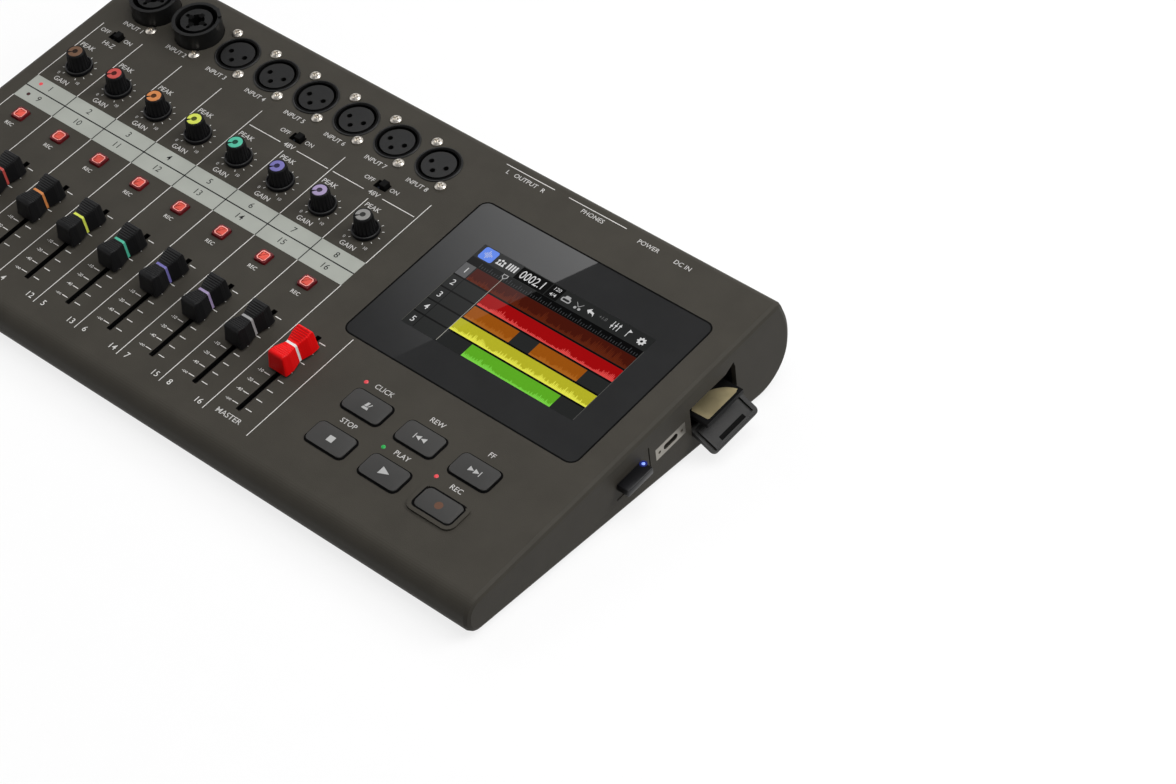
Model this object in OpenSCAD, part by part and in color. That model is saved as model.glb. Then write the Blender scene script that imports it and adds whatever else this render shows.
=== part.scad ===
// Desktop digital multitrack recorder: eight input strips, a master fader, a colour
// display and transport keys on one sloped panel. Ports sit on the right side and the rear.
// Frame: +X right, +Y to the rear, +Z up, origin on the table under the middle of the case.
// Most pieces are placed in the panel frame: x to the right, v up the slope, w off the panel.

/* [Case] */
// Width of the case
body_w = 378; // [370:1:390]
// Depth of the case
body_d = 206; // [202:1:212]
// Height of the sloped panel over the underside at mid depth
panel_h = 32.6; // [32:0.2:36]
// Slope of the panel in degrees
panel_tilt = 8.2; // [7.6:0.1:8.8]
// Wall thickness of the case
wall = 2.4; // [2:0.1:2.8]
// Height of the seam between the two case halves over the underside
seam_h = 6; // [5:0.5:7]
// Radius of the round lower rear edge
rear_r = 19.5; // [17:0.5:20.5]
// Height of the upright part of the rear face
rear_flat = 2; // [1:0.5:3]
// Radius of the rear face above its upright part
rear_face_r = 40; // [36:1:46]
// Forward lean of the rear face at its top, in degrees
rear_lean = 25; // [22:1:28]
// Radius where the rear face meets the panel
rear_top_r = 4; // [3:0.5:5]
// Radius of the front edge at the panel
front_top_r = 8; // [5:0.5:9]
// Radius of the front edge at the underside
front_low_r = 8.5; // [6:0.5:9]
// Softened edge between the panel and the side walls
edge_r = 2.2; // [1.4:0.2:2.4]

/* [Feet and case screws] */
// Height of the rubber feet
foot_h = 2; // [1.5:0.5:4]
// Diameter of a rubber foot
foot_d = 16; // [10:1:20]
// Inset of the feet from the ends of the case
foot_inset = 24; // [18:1:40]
// Shank diameter of a case screw
case_screw_d = 3; // [2.5:0.1:3.5]
// Head diameter of a case screw
case_head_d = 6; // [5:0.2:6.6]
// Diameter of the screw bosses
boss_d = 8.4; // [7.6:0.2:9]

/* [Input strips] */
// Pitch of the channel strips
strip_pitch = 26; // [25.4:0.1:26.4]
// Distance from the left wall to the first strip
strip_margin = 9.7; // [9:0.1:11]
// Row of the gain knobs, up the slope from mid panel
knob_v = 24.9; // [23:0.1:26]
// Diameter of the knob skirt
knob_d = 13; // [11:0.2:14]
// Diameter of the knob top
knob_top_d = 8.6; // [7:0.2:9]
// Height of the knob over the panel
knob_h = 10.4; // [9:0.2:13]
// Diameter of the pot shaft
shaft_d = 6; // [5:0.1:6.2]
// Turn of a gain knob in degrees
knob_turn = 300; // [240:5:300]
// Turn of a gain knob from its lower stop, as shown
knob_rest = 14; // [0:1:240]

/* [Faders] */
// Middle of the fader slots, up the slope from mid panel
fader_v = -57.5; // [-59:0.5:-56]
// Travel of a fader
fader_travel = 45; // [40:0.5:46]
// Unity mark over the middle of the travel, where the faders rest
fader_rest = 9.6; // [-15:0.1:15]
// Width of the panel slot
slot_w = 2.2; // [1.8:0.1:2.6]
// Thickness of the fader lever
lever_t = 1.2; // [1:0.1:1.4]
// Length of the fader lever along the slot
lever_l = 4.4; // [3.6:0.2:5]
// Length of the fader cap
cap_l = 20.6; // [18:0.2:22]
// Width of the fader cap at its ends
cap_w = 10.6; // [9:0.2:12]
// Width of the fader cap at its waist
cap_waist = 7.8; // [7:0.2:8.6]
// Height of the fader cap over the panel
cap_h = 11.6; // [9:0.2:13]
// Depth of the valley across the cap
cap_valley = 1.7; // [1:0.1:2.4]

/* [Sockets on the panel] */
// Distance from the rear edge of the panel to the row of input sockets
jack_v = 22.53; // [22:0.01:24]
// Pitch of the input sockets
jack_pitch = 25.1; // [24.8:0.1:26]
// Extra room between the two raised sockets
combo_spread = 3.4; // [0:0.2:4]
// Offset of the last socket from the middle of its strip
jack_shift = -1.2; // [-3:0.1:0]
// Diameter of the three-pin socket shell
xlr_d = 21.1; // [20:0.1:21.6]
// Diameter of the insulator in a three-pin socket
xlr_core_d = 16.1; // [15:0.1:17]
// Inner diameter of the socket shells
shell_bore = 19.8; // [19:0.1:20]
// Diameter of the raised combo socket collar
combo_d = 23.2; // [22.4:0.1:23.6]
// Height of the combo socket collar over the panel
combo_h = 9; // [6:0.5:11]
// Diameter of the insulator in a combo socket
combo_core_d = 15.2; // [14.6:0.1:16]
// Bore of the plug sockets
plug_bore = 6.4; // [6.3:0.05:6.6]
// Head diameter of the socket screws
jack_head_d = 5.2; // [4.6:0.1:5.2]
// Shank diameter of the socket screws
jack_screw_d = 2.9; // [2.5:0.1:3]

/* [Keys and switches] */
// Row of the record arm keys, up the slope from mid panel
arm_v = -12.8; // [-14:0.2:-11]
// Side of a record arm key
arm_side = 6.6; // [5.6:0.2:7]
// Height of a record arm key over the panel
arm_h = 1.2; // [0.6:0.1:1.5]
// Middle of the transport keys, up the slope from mid panel
key_v = -60.8; // [-62:0.2:-60]
// Pitch of the transport keys across
key_pitch_x = 30; // [28:0.5:31]
// Pitch of the transport keys up the slope
key_pitch_v = 22; // [20:0.5:23]
// Width of a transport key
key_w = 20.6; // [19:0.2:21]
// Depth of a transport key
key_d = 11.6; // [10:0.2:12.4]
// Height of a transport key over the panel
key_h = 1.4; // [1.2:0.1:2.6]
// Travel of the sprung keys
key_travel = 0.8; // [0.4:0.1:1]
// Distance from the input sockets to the row of slide switches
switch_v = 24.4; // [24:0.2:27]
// Travel of a slide switch
switch_travel = 3.2; // [2.4:0.1:4]

/* [Display] */
// Width of the display window
window_w = 128.6; // [120:0.2:134]
// Depth of the display window
window_d = 92.6; // [88:0.2:96]
// Thickness of the display window
window_t = 1.6; // [1.2:0.1:1.6]
// Corner radius of the display window
window_r = 6; // [3:0.5:8]
// Distance from the right wall to the window
window_margin = 13.9; // [12:0.1:18]
// Middle of the window, up the slope from mid panel
window_v = 23; // [21:0.5:24]
// Width of the display module
lcd_w = 105; // [100:0.5:108]
// Depth of the display module
lcd_d = 67; // [62:0.5:70]
// Thickness of the display module
lcd_t = 5; // [3:0.5:6]

/* [Right side] */
// Level of the side ports under the panel
port_w = -17.8; // [-18.4:0.2:-17]
// Middle of the card bay, up the slope from mid panel
card_v = 49; // [47:0.5:50]
// Length of the card cover
cover_l = 29.8; // [28:0.2:31]
// Height of the card cover from its hinge
cover_h = 14.4; // [13.4:0.2:15]
// Thickness of the card cover
cover_t = 2.2; // [1.8:0.1:2.4]
// Radius of the hinge barrel of the card cover
barrel_r = 1.2; // [1:0.05:1.2]
// Opening angle of the card cover in degrees
cover_open = 117; // [100:1:122]
// How far the memory card stands out of the side
card_out = 6.3; // [4:0.1:8]
// How far the closing cover takes the memory card in
card_travel = 12.5; // [11:0.1:13]
// Middle of the multi-pin data socket, up the slope from mid panel
usb_v = 20.6; // [19:0.2:22]
// Middle of the adapter bay, up the slope from mid panel
adapter_v = -3.6; // [-6:0.2:-2]
// Width of the plug-in adapter
adapter_w = 21.4; // [19:0.2:22]
// Height of the plug-in adapter
adapter_h = 12.4; // [11:0.2:13]
// Length of the plug-in adapter
adapter_l = 20; // [18:0.5:24]
// How far the grip of the adapter stands out of the side
adapter_out = 6; // [4:0.5:8]

/* [Rear bay] */
// Width of the rear socket bay
bay_w = 122; // [118:1:126]
// Height of the rear socket bay
bay_h = 22; // [20:0.5:23]
// Depth of the rear socket bay at its deepest
bay_depth = 7; // [6:0.5:8]
// Height of the rear sockets over the underside
rear_h = 21.5; // [21:0.5:23]
// Diameter of the phones volume knob
phones_knob_d = 11; // [9:0.5:13]

/* [Fits] */
// Gap round pieces that move past each other
gap = 0.3; // [0.3:0.05:0.4]
// Radial clearance of a shaft or pin in its bore
run_fit = 0.05; // [0.03:0.01:0.08]
// Radial clearance of a seated screw or light pipe
seat_fit = 0.05; // [0.03:0.01:0.1]

/* [Hidden] */
$fn = 64;
// Least room between the last strip and the window, and the strips that fit
strip_clear = 9;
STRIPS = floor((body_w - strip_margin - window_w - window_margin - strip_clear) / strip_pitch);
MASTER = STRIPS + 1;
TRANSPORT = ["stop", "play", "record", "click", "rewind", "forward"];
RECORD = 2;

arc_steps = 10;
eps = 0.01;
case_tone = [0.25, 0.24, 0.22];
black_tone = [0.07, 0.07, 0.075];
metal_tone = [0.78, 0.77, 0.74];
board_tone = [0.08, 0.3, 0.16];
lane_tones = [
    [0.36, 0.2, 0.12], [0.85, 0.2, 0.2], [0.93, 0.5, 0.2], [0.8, 0.85, 0.2],
    [0.25, 0.75, 0.6], [0.42, 0.38, 0.8], [0.66, 0.58, 0.85], [0.6, 0.6, 0.6]
];

// Heights of the inner pieces
floor_z = foot_h + wall;
seam_z = foot_h + seam_h;
panel_z = foot_h + panel_h;
right_x = body_w / 2;

// Depth of the control board under the panel and what stands on it
board_t = 1.6;
board_w = -13;
tact_side = 6;
tact_h = 3.5;
tact_cap_h = 1.2;
fader_body_w = 9;
fader_body_margin = 5;
fader_floor = 3;
lever_clear = 1;
pot_side = 10;
pot_h = 6.6;
shaft_depth = 3.4;

// Places along the panel
window_x = right_x - window_margin - window_w / 2;
key_x = window_x + 4.6;
slot_l = fader_travel + lever_l + 2 * gap;
fader_rest_v = fader_v + fader_rest;
record_x = key_x + key_pitch_x;

// Flange that keeps a key in its hole
key_lip = 1.2;
key_lip_t = 1.5;

// Rear bay planes
bay_x = window_x - 18.8;
bay_y = body_d / 2 - bay_depth;
bay_in_y = bay_y - wall;
rear_z = foot_h + rear_h;
output_x = [bay_x - 48.8, bay_x - 29.8];
phones_knob_x = bay_x - 10;
phones_x = bay_x + 9.5;
power_x = bay_x + 31;
dc_x = bay_x + 49.5;

// Card bay: the hinge lies inside the side wall, near its outer face
hinge_w = port_w - 7.4;
hinge_lip = 2.6;
bay_low_w = hinge_w - hinge_lip;
bay_high_w = hinge_w + cover_h + gap;
card_bay_depth = 8.5;
pin_r = 0.7;
pin_l = 1.4;
card_w = 24;
card_l = 32;
card_t = 2.1;
card_level = port_w - 1.8;

function strip_x(i) = -body_w / 2 + strip_margin + (i - 0.5) * strip_pitch;
function jack_x(i) = strip_x(STRIPS) + jack_shift - (STRIPS - i) * jack_pitch - (i == 1 ? combo_spread : 0);
function knob_x(i) = strip_x(i);
function column_x(k) = key_x + (k % 3 - 1) * key_pitch_x;
function row_v(k) = key_v + (k < 3 ? -0.5 : 0.5) * key_pitch_v;
function panel_height(y) = panel_z + tan(panel_tilt) * y;

// Screw offsets from the middle of a socket
xlr_screw = [9.9, -9.95];
combo_screw = [8.4, -12.2];
function is_combo(i) = i < 3;
function jack_screw_at(i) = is_combo(i) ? combo_screw : xlr_screw;

// Case outline in the side view: five straight faces with a round between each pair.
// A face is its outward angle and its distance from the origin.
rear_centre = [body_d / 2 - rear_face_r, foot_h + rear_r + rear_flat];
faces = [
    [-90, -foot_h],
    [0, body_d / 2],
    [rear_lean, rear_centre * [cos(rear_lean), sin(rear_lean)] + rear_face_r],
    [90 + panel_tilt, panel_z * cos(panel_tilt)],
    [180, body_d / 2],
    [270, -foot_h]
];
rounds = [rear_r, rear_face_r, rear_top_r, front_top_r, front_low_r];

// Rows that keep their distance from the rear edge of the panel
rear_edge = meet(faces[2][0], faces[2][1], faces[3][0], faces[3][1]);
rear_edge_v = [rear_edge[0], rear_edge[1] - panel_z] * [cos(panel_tilt), sin(panel_tilt)];
jack_row = rear_edge_v - jack_v;
switch_row = jack_row - switch_v;

// Meeting point of two lines, each an outward angle and a distance
function meet(a, da, b, db) =
    [da * sin(b) - db * sin(a), db * cos(a) - da * cos(b)] / sin(b - a);

function corner(k, inset) =
    let (
        a = faces[k],
        b = faces[k + 1],
        r = rounds[k],
        centre = meet(a[0], a[1] - r, b[0], b[1] - r)
    )
    [for (s = [0:arc_steps])
        let (t = a[0] + (b[0] - a[0]) * s / arc_steps)
        centre + (r - inset) * [cos(t), sin(t)]];

function outline(inset) = [for (k = [0:len(rounds) - 1]) each corner(k, inset)];

function round_rect(w, d, r) =
    [for (q = [0:3])
        for (s = [0:arc_steps / 2])
            let (
                t = q * 90 + 180 * s / arc_steps,
                sx = (q == 0 || q == 3) ? 1 : -1,
                sy = q < 2 ? 1 : -1
            )
            [sx * (w / 2 - r) + r * cos(t), sy * (d / 2 - r) + r * sin(t)]];

module on_panel(x, v, w = 0) {
    translate([0, 0, panel_z])
        rotate([panel_tilt, 0, 0])
            translate([x, v, w])
                children();
}

// Prism across the case with its profile in the side view
module across(length, points) {
    rotate([90, 0, 90])
        linear_extrude(length, center = true)
            polygon(points);
}

// Round-cornered plate standing from w = low to w = high
module plate(w, d, r, low, high) {
    translate([0, 0, low])
        linear_extrude(high - low)
            polygon(round_rect(w, d, r));
}

// Upright block centred on x and v, from w = low to w = high
module block(w, d, low, high) {
    translate([-w / 2, -d / 2, low])
        cube([w, d, high - low]);
}

module post(d, low, high) {
    translate([0, 0, low])
        cylinder(d = d, h = high - low);
}

// Cylinder along +Y from y = low to y = high
module rear_post(d, low, high, sides = $fn) {
    translate([0, low, 0])
        rotate([-90, 0, 0])
            cylinder(d = d, h = high - low, $fn = sides);
}

// Block set into the right side: x is measured inwards from the side face
module side_block(v, w, length, height, deep, shallow = 0) {
    on_panel(right_x, v, w)
        translate([-deep, -length / 2, -height / 2])
            cube([deep - shallow, length, height]);
}

// Case

boss_x = right_x - wall - boss_d / 2 - 2;
boss_y = [-body_d / 2 + 17, -body_d / 2 + 67, body_d / 2 - 19];
boss_pilot = 12;
head_depth = 2.2;

module each_boss() {
    for (side = [-1, 1])
        for (y = boss_y)
            translate([side * boss_x, y, 0])
                children();
}

// End cap of the case block, with the soft edge round its outline
module end_cap() {
    cap_x = right_x - edge_r;
    soft = 0.3 * edge_r;
    hull() {
        translate([cap_x + eps / 2, 0, 0])
            across(eps, outline(0));
        translate([right_x - soft, 0, 0])
            across(eps, outline(soft));
        translate([right_x - eps / 2, 0, 0])
            across(eps, outline(edge_r));
    }
}

module case_block() {
    across(body_w - 2 * edge_r, outline(0));
    end_cap();
    mirror([1, 0, 0])
        end_cap();
}

module bay_box(grow, front_y) {
    translate([bay_x - bay_w / 2 - grow, front_y, rear_z - bay_h / 2 - grow])
        cube([bay_w + 2 * grow, body_d, bay_h + 2 * grow]);
}

module case_shell() {
    difference() {
        case_block();
        difference() {
            across(body_w - 2 * wall, outline(wall));
            bay_box(wall, bay_in_y);
        }
        bay_box(0, bay_y);
    }
}

module below_seam() {
    translate([-body_w, -body_d, -eps])
        cube([2 * body_w, 2 * body_d, seam_z + eps]);
}

// Holes in the sloped panel
module panel_holes() {
    low = -wall - 1;
    high = 3;
    for (i = [1:STRIPS]) {
        on_panel(knob_x(i), knob_v)
            post(shaft_d + 4 * gap, low, high);
        on_panel(strip_x(i), arm_v)
            plate(arm_side + 2 * gap, arm_side + 2 * gap, 0.8 + gap, low, high);
        on_panel(jack_x(i), jack_row) {
            post((is_combo(i) ? combo_d : xlr_d) + 2 * gap, low, high);
            for (side = [-1, 1])
                translate(side * jack_screw_at(i))
                    post(jack_screw_d + 2 * seat_fit, -jack_screw_l - gap, high);
        }
    }
    for (i = [1:MASTER])
        on_panel(strip_x(i), fader_v)
            block(slot_w, slot_l, low, high);
    for (k = [0:5])
        on_panel(column_x(k), row_v(k))
            plate(key_w + 2 * gap, key_d + 2 * gap, key_r + gap, low, high);
    for (x = switch_xs)
        on_panel(x, switch_row)
            block(lug_w + switch_travel + 2 * gap, lug_d + 2 * gap, low, high);
    for (at = led_places)
        on_panel(at[0], at[1])
            post(led_d + 2 * seat_fit, low, high);
    on_panel(window_x, window_v) {
        plate(window_w + 2 * seat_fit, window_d + 2 * seat_fit, window_r + seat_fit, -window_t, high);
        plate(lcd_w + 2 * gap, lcd_d + 2 * gap, 1, low, high);
    }
}

// Openings in the right side wall
module side_holes() {
    bay_l = cover_l + 2 * gap;
    through = wall + 1;
    side_block(card_v, (bay_low_w + bay_high_w) / 2, bay_l, bay_high_w - bay_low_w, through, -1);
    on_panel(right_x - barrel_r, card_v - bay_l / 2 - pin_l - gap, hinge_w)
        rear_post(2 * (pin_r + run_fit), 0, bay_l + 2 * (pin_l + gap));
    on_panel(right_x - finger_depth, card_v, bay_high_w)
        rotate([90, 0, 90])
            linear_extrude(finger_depth + 1)
                polygon([[bay_l / 2 - 8.5, -1], [bay_l / 2 - 0.8, 2.8], [bay_l / 2, -1]]);
    side_block(adapter_v, adapter_level, adapter_w + 2 * gap, adapter_h + 2 * gap, through, -1);
    side_block(usb_v, port_w, usb_l, usb_h, usb_t, -1);
    side_block(usb_v, port_w, usb_shell_l + 2 * gap, usb_shell_h + 2 * gap, through, -1);
}

// Holes in the wall of the rear bay
module bay_holes() {
    low = bay_in_y - 1;
    high = bay_y + 1;
    for (x = concat(output_x, [phones_x]))
        translate([x, 0, rear_z])
            rear_post(bush_d + 2 * gap, low, high);
    translate([phones_knob_x, 0, rear_z])
        rear_post(shaft_d + 4 * gap, low, high);
    translate([power_x, 0, rear_z])
        bay_block(lug_w + switch_travel + 2 * gap, lug_d + 2 * gap, low, high);
    translate([dc_x, 0, rear_z])
        rear_post(dc_bush_d + 2 * seat_fit, low, high);
}

// Raised ridge on three sides of the record key
guard_t = 2;
guard_h = 1;
module record_guard() {
    on_panel(record_x, key_v - key_pitch_v / 2)
        difference() {
            plate(key_w + 2 * (gap + guard_t), key_d + 2 * (gap + guard_t), key_r + guard_t, -eps, guard_h);
            plate(key_w + 2 * gap, key_d + 2 * gap, key_r + gap, -1, guard_h + 1);
            translate([0, key_d, 0])
                block(2 * key_w, key_d + 2 * gap, 0, guard_h + 1);
        }
}

// Posts under the panel that carry the control board
board_posts = [
    [strip_x(3) - strip_pitch / 2, 38], [strip_x(3) - strip_pitch / 2, -20],
    [strip_x(STRIPS - 1) - strip_pitch / 2, 38], [strip_x(STRIPS - 1) - strip_pitch / 2, -20],
    [key_x - key_pitch_x * 1.5, key_v], [key_x + key_pitch_x / 2, key_v - key_pitch_v / 2]
];
post_d = 5;

module upper_case() {
    color(case_tone) {
        difference() {
            union() {
                difference() {
                    case_shell();
                    below_seam();
                }
                each_boss_above();
            }
            panel_holes();
            side_holes();
            bay_holes();
            each_boss()
                post(case_screw_d + 2 * seat_fit, seam_z - 1, seam_z + boss_pilot);
        }
        record_guard();
        for (at = board_posts)
            on_panel(at[0], at[1])
                post(post_d, board_w, -wall / 2);
    }
}

module each_boss_above() {
    for (side = [-1, 1])
        for (y = boss_y)
            translate([side * boss_x, y, 0])
                post(boss_d, seam_z, panel_height(y - boss_d / 2) - wall / 2);
}

// Standoffs of the main board on the floor of the lower case
main_z = floor_z + 4;
main_left_gap = 19;
main_right_gap = 49;
main_front_gap = 73;
main_rear_gap = 41;
main_x = [-right_x + main_left_gap, right_x - main_right_gap];
main_y = [-body_d / 2 + main_front_gap, body_d / 2 - main_rear_gap];
standoff_inset = 12;
standoff_d = 6;

module lower_case() {
    color(case_tone)
        difference() {
            union() {
                intersection() {
                    case_shell();
                    below_seam();
                }
                each_boss()
                    post(boss_d, floor_z - wall / 2, seam_z);
                for (x = [main_x[0] + standoff_inset, 0, main_x[1] - standoff_inset])
                    for (y = [main_y[0] + standoff_inset, main_y[1] - standoff_inset])
                        translate([x, y, 0])
                            post(standoff_d, floor_z - wall / 2, main_z);
            }
            each_boss() {
                post(case_screw_d + 2 * seat_fit, -1, seam_z + 1);
                post(case_head_d + 2 * gap, -1, foot_h + head_depth);
            }
        }
}

// Four corner feet and one under the middle of the wide floor
foot_edge = 6;

module rubber_feet() {
    foot_x = body_w / 2 - foot_inset;
    foot_y = body_d / 2 - foot_inset - foot_edge;
    color(black_tone)
        for (at = [[-1, -1], [1, -1], [0, 0], [-1, 1], [1, 1]])
            translate([at[0] * foot_x, at[1] * foot_y, 0])
                cylinder(d = foot_d, h = foot_h);
}

module case_screws() {
    head_t = 1.8;
    color(metal_tone)
        each_boss()
            difference() {
                union() {
                    post(case_head_d, foot_h + head_depth - head_t, foot_h + head_depth);
                    post(case_screw_d, foot_h + head_depth - head_t / 2, seam_z + boss_pilot - 2);
                }
                cross_slot(case_head_d * 0.6, foot_h + head_depth - head_t, head_t / 2);
            }
}

// Cross recess cut upwards from w = level, or downwards when the depth is negative
module cross_slot(length, level, depth) {
    low = min(level, level + depth) - (depth > 0 ? 1 : 0);
    high = max(level, level + depth) + (depth > 0 ? 0 : 1);
    block(length, length / 4, low, high);
    block(length / 4, length, low, high);
}

// Display

module display_window() {
    color([0.13, 0.13, 0.14])
        on_panel(window_x, window_v)
            plate(window_w, window_d, window_r, -window_t, 0);
}

module lcd_module() {
    bezel = 4;
    color([0.3, 0.32, 0.35])
        on_panel(window_x, window_v)
            difference() {
                plate(lcd_w, lcd_d, 0.8, -window_t - lcd_t, -window_t);
                translate([0, 0, -window_t - lcd_t / 3])
                    block(lcd_w - 2 * bezel, lcd_d - 2 * bezel, -lcd_t, -lcd_t / 3);
            }
}

// Boards

board_side_gap = 14;
board_jack_gap = 7.45;
board_key_gap = 8;
board_step_gap = 1;
board_left = -right_x + board_side_gap;
board_front = -90;
board_rear = jack_row - xlr_d / 2 - board_jack_gap;
board_step_v = -36;
board_right = key_x + key_pitch_x + key_w / 2 + board_key_gap;

module control_board() {
    step_x = strip_x(MASTER) + strip_pitch / 2 + board_step_gap;
    color(board_tone)
        on_panel(0, 0, board_w - board_t)
            linear_extrude(board_t)
                polygon([
                    [board_left, board_front], [board_right, board_front],
                    [board_right, board_step_v], [step_x, board_step_v],
                    [step_x, board_rear], [board_left, board_rear]
                ]);
}

module main_board() {
    chip = 18;
    chip_t = 1.4;
    color(board_tone) {
        translate([main_x[0], main_y[0], main_z])
            cube([main_x[1] - main_x[0], main_y[1] - main_y[0], board_t]);
        for (x = [-60, 20, 80])
            translate([x, 10, main_z + board_t])
                block(chip, chip, 0, chip_t);
    }
}

// Pieces that stand on the control board

module fader_bodies() {
    color([0.6, 0.6, 0.58])
        for (i = [1:MASTER])
            on_panel(strip_x(i), fader_v)
                difference() {
                    block(fader_body_w, slot_l + 2 * fader_body_margin, board_w, -wall - 2 * gap);
                    block(slot_w, slot_l, board_w + fader_floor, 0);
                }
}

module rotary_pots() {
    color([0.2, 0.25, 0.35]) {
        for (i = [1:STRIPS])
            on_panel(knob_x(i), knob_v)
                difference() {
                    block(pot_side, pot_side, board_w, board_w + pot_h);
                    post(shaft_d + 2 * run_fit, board_w + pot_h - shaft_depth - gap, 0);
                }
        translate([phones_knob_x, 0, rear_z])
            difference() {
                bay_block(pot_side, pot_side, bay_in_y - pot_h, bay_in_y);
                rear_post(shaft_d + 2 * run_fit, bay_in_y - shaft_depth - gap, bay_in_y + 1);
            }
    }
}

module tact_switches() {
    module tact() {
        block(tact_side, tact_side, board_w, board_w + tact_h);
        post(tact_side * 0.55, board_w + tact_h, board_w + tact_h + tact_cap_h);
    }
    color([0.15, 0.15, 0.16]) {
        for (i = [1:STRIPS])
            on_panel(strip_x(i), arm_v)
                tact();
        for (k = [0:5])
            on_panel(column_x(k), row_v(k))
                tact();
    }
}

// Slide switches: a lug in a slot, with a shoe under the wall and a body behind it
switch_xs = concat([strip_x(1) - 0.4], [for (i = [3, 1]) strip_x(STRIPS - i) + strip_pitch / 2]);
lug_w = 3.2;
lug_d = 3.6;
lug_h = 2.8;
rear_lug_h = 1.2;
shoe_w = 8;
shoe_d = 5.8;
shoe_t = 0.8;
switch_body_w = shoe_w + switch_travel + 2;
switch_body_d = 7;
shoe_top = -wall - gap;

module switch_slider(stand) {
    block(lug_w, lug_d, shoe_top - eps, stand);
    block(shoe_w, shoe_d, shoe_top - shoe_t, shoe_top);
}

module panel_switch(x) {
    color(black_tone)
        on_panel(x + switch_travel / 2, switch_row)
            switch_slider(lug_h);
}

// Block on the rear bay, x across, z up, from y = low to y = high
module bay_block(w, h, low, high) {
    translate([-w / 2, low, -h / 2])
        cube([w, high - low, h]);
}

module power_switch() {
    color(black_tone)
        translate([power_x - switch_travel / 2, bay_y, rear_z])
            rotate([-90, 0, 0])
                switch_slider(rear_lug_h);
}

module switch_bodies() {
    body_top = shoe_top - shoe_t - gap;
    cheek = 1.4;
    color([0.55, 0.55, 0.55]) {
        for (x = switch_xs)
            on_panel(x, switch_row)
                block(switch_body_w, switch_body_d, board_w, body_top);
        translate([power_x, 0, rear_z])
            difference() {
                bay_block(switch_body_w + 2 * cheek, switch_body_d, bay_in_y - 8, bay_in_y);
                bay_block(switch_body_w, switch_body_d + 1, bay_y + body_top, bay_y);
            }
    }
}

// Light pipes: two for the channel banks, three beside the transport keys
led_d = 2;
led_lip = 3.6;
led_stand = 0.25;
bank_v = [6.8, -1.2];
led_places = concat(
    [for (v = bank_v) [strip_x(1) - 7.2, v]],
    [for (k = [3, 1]) [column_x(k) - 10, row_v(k) + 10.2]],
    [[column_x(RECORD) - 11.7, row_v(RECORD) + 11.4]]
);

module indicator_lenses() {
    color([0.75, 0.15, 0.12])
        for (at = led_places)
            on_panel(at[0], at[1]) {
                post(led_d, -wall, led_stand);
                post(led_lip, -wall - 1.6, -wall);
            }
}

// Input sockets: depths under the panel, contact rings and flanges
flange_t = 2.2;
xlr_depth = 24;
xlr_rim = 0.3;
xlr_groove = 15;
xlr_flange_d = 25;
xlr_pin_ring = 4.3;
xlr_pin_d = 2.6;
xlr_pin_depth = 12;
combo_depth = 28;
combo_floor = 2;
combo_sunk = 0.6;
combo_groove = 8;
combo_flange_d = 29.4;
combo_pin_ring = 5.7;
combo_pin_d = 2;
combo_pin_depth = 6;
lead_in = 1.4;
lead_in_depth = 1;
tab_t = 1.6;
tab_l = 6;
tab_h = 0.8;
jack_head_h = 1.5;
jack_screw_l = 7;
cross_depth = 0.8;

module jack_flange(d) {
    block(jack_pitch - 2 * gap, d, -wall - flange_t, -wall);
}

module jack_screw_holes(i) {
    for (side = [-1, 1])
        translate(side * jack_screw_at(i))
            post(jack_screw_d + 2 * seat_fit, -jack_screw_l - gap, 1);
}

// Three contact holes on a circle, open at the rear
module pin_holes(radius, d, low, high) {
    for (turn = [180, 270, 360])
        rotate(turn)
            translate([radius, 0, 0])
                post(d, low, high);
}

module shell_groove(core_d, low, high) {
    difference() {
        post(shell_bore, low, high);
        post(core_d, low - 1, high + 1);
    }
}

module xlr_jacks() {
    color(black_tone)
        for (i = [3:STRIPS])
            on_panel(jack_x(i), jack_row)
                difference() {
                    union() {
                        post(xlr_d, -xlr_depth, xlr_rim);
                        jack_flange(xlr_flange_d);
                    }
                    post(shell_bore, 0, xlr_rim + 1);
                    shell_groove(xlr_core_d, -xlr_groove, 1);
                    pin_holes(xlr_pin_ring, xlr_pin_d, -xlr_pin_depth, 1);
                    jack_screw_holes(i);
                }
}

module combo_jacks() {
    open_h = combo_h + 1;
    color(black_tone)
        for (i = [1:2])
            on_panel(jack_x(i), jack_row) {
                difference() {
                    union() {
                        post(combo_d, -combo_depth, combo_h);
                        jack_flange(combo_flange_d);
                    }
                    post(shell_bore, combo_h - combo_sunk, open_h);
                    shell_groove(combo_core_d, -combo_groove, open_h);
                    post(plug_bore + lead_in, -wall - lead_in_depth, open_h);
                    post(plug_bore, combo_floor - combo_depth, open_h);
                    pin_holes(combo_pin_ring, combo_pin_d, -combo_pin_depth, open_h);
                    jack_screw_holes(i);
                }
                release_tab();
            }
}

// Latch tab at the rear right of a combo collar
module release_tab() {
    rotate(55)
        translate([(combo_d + shell_bore) / 4, 0, 0])
            block(tab_t, tab_l, combo_h - eps, combo_h + tab_h);
}

module jack_screws() {
    shank_r = jack_screw_d / 2;
    color(metal_tone)
        for (i = [1:STRIPS])
            for (side = [-1, 1])
                on_panel(jack_x(i), jack_row)
                    translate(side * jack_screw_at(i))
                        difference() {
                            rotate_extrude()
                                polygon([
                                    [0, -jack_screw_l], [shank_r, -jack_screw_l], [shank_r, 0],
                                    [jack_head_d / 2, 0], [jack_head_d / 2, jack_head_h * 0.4],
                                    [jack_head_d * 0.36, jack_head_h * 0.85],
                                    [jack_head_d * 0.2, jack_head_h], [0, jack_head_h]
                                ]);
                            cross_slot(jack_head_d * 0.55, jack_head_h, -cross_depth);
                        }
}

// Right side

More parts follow.
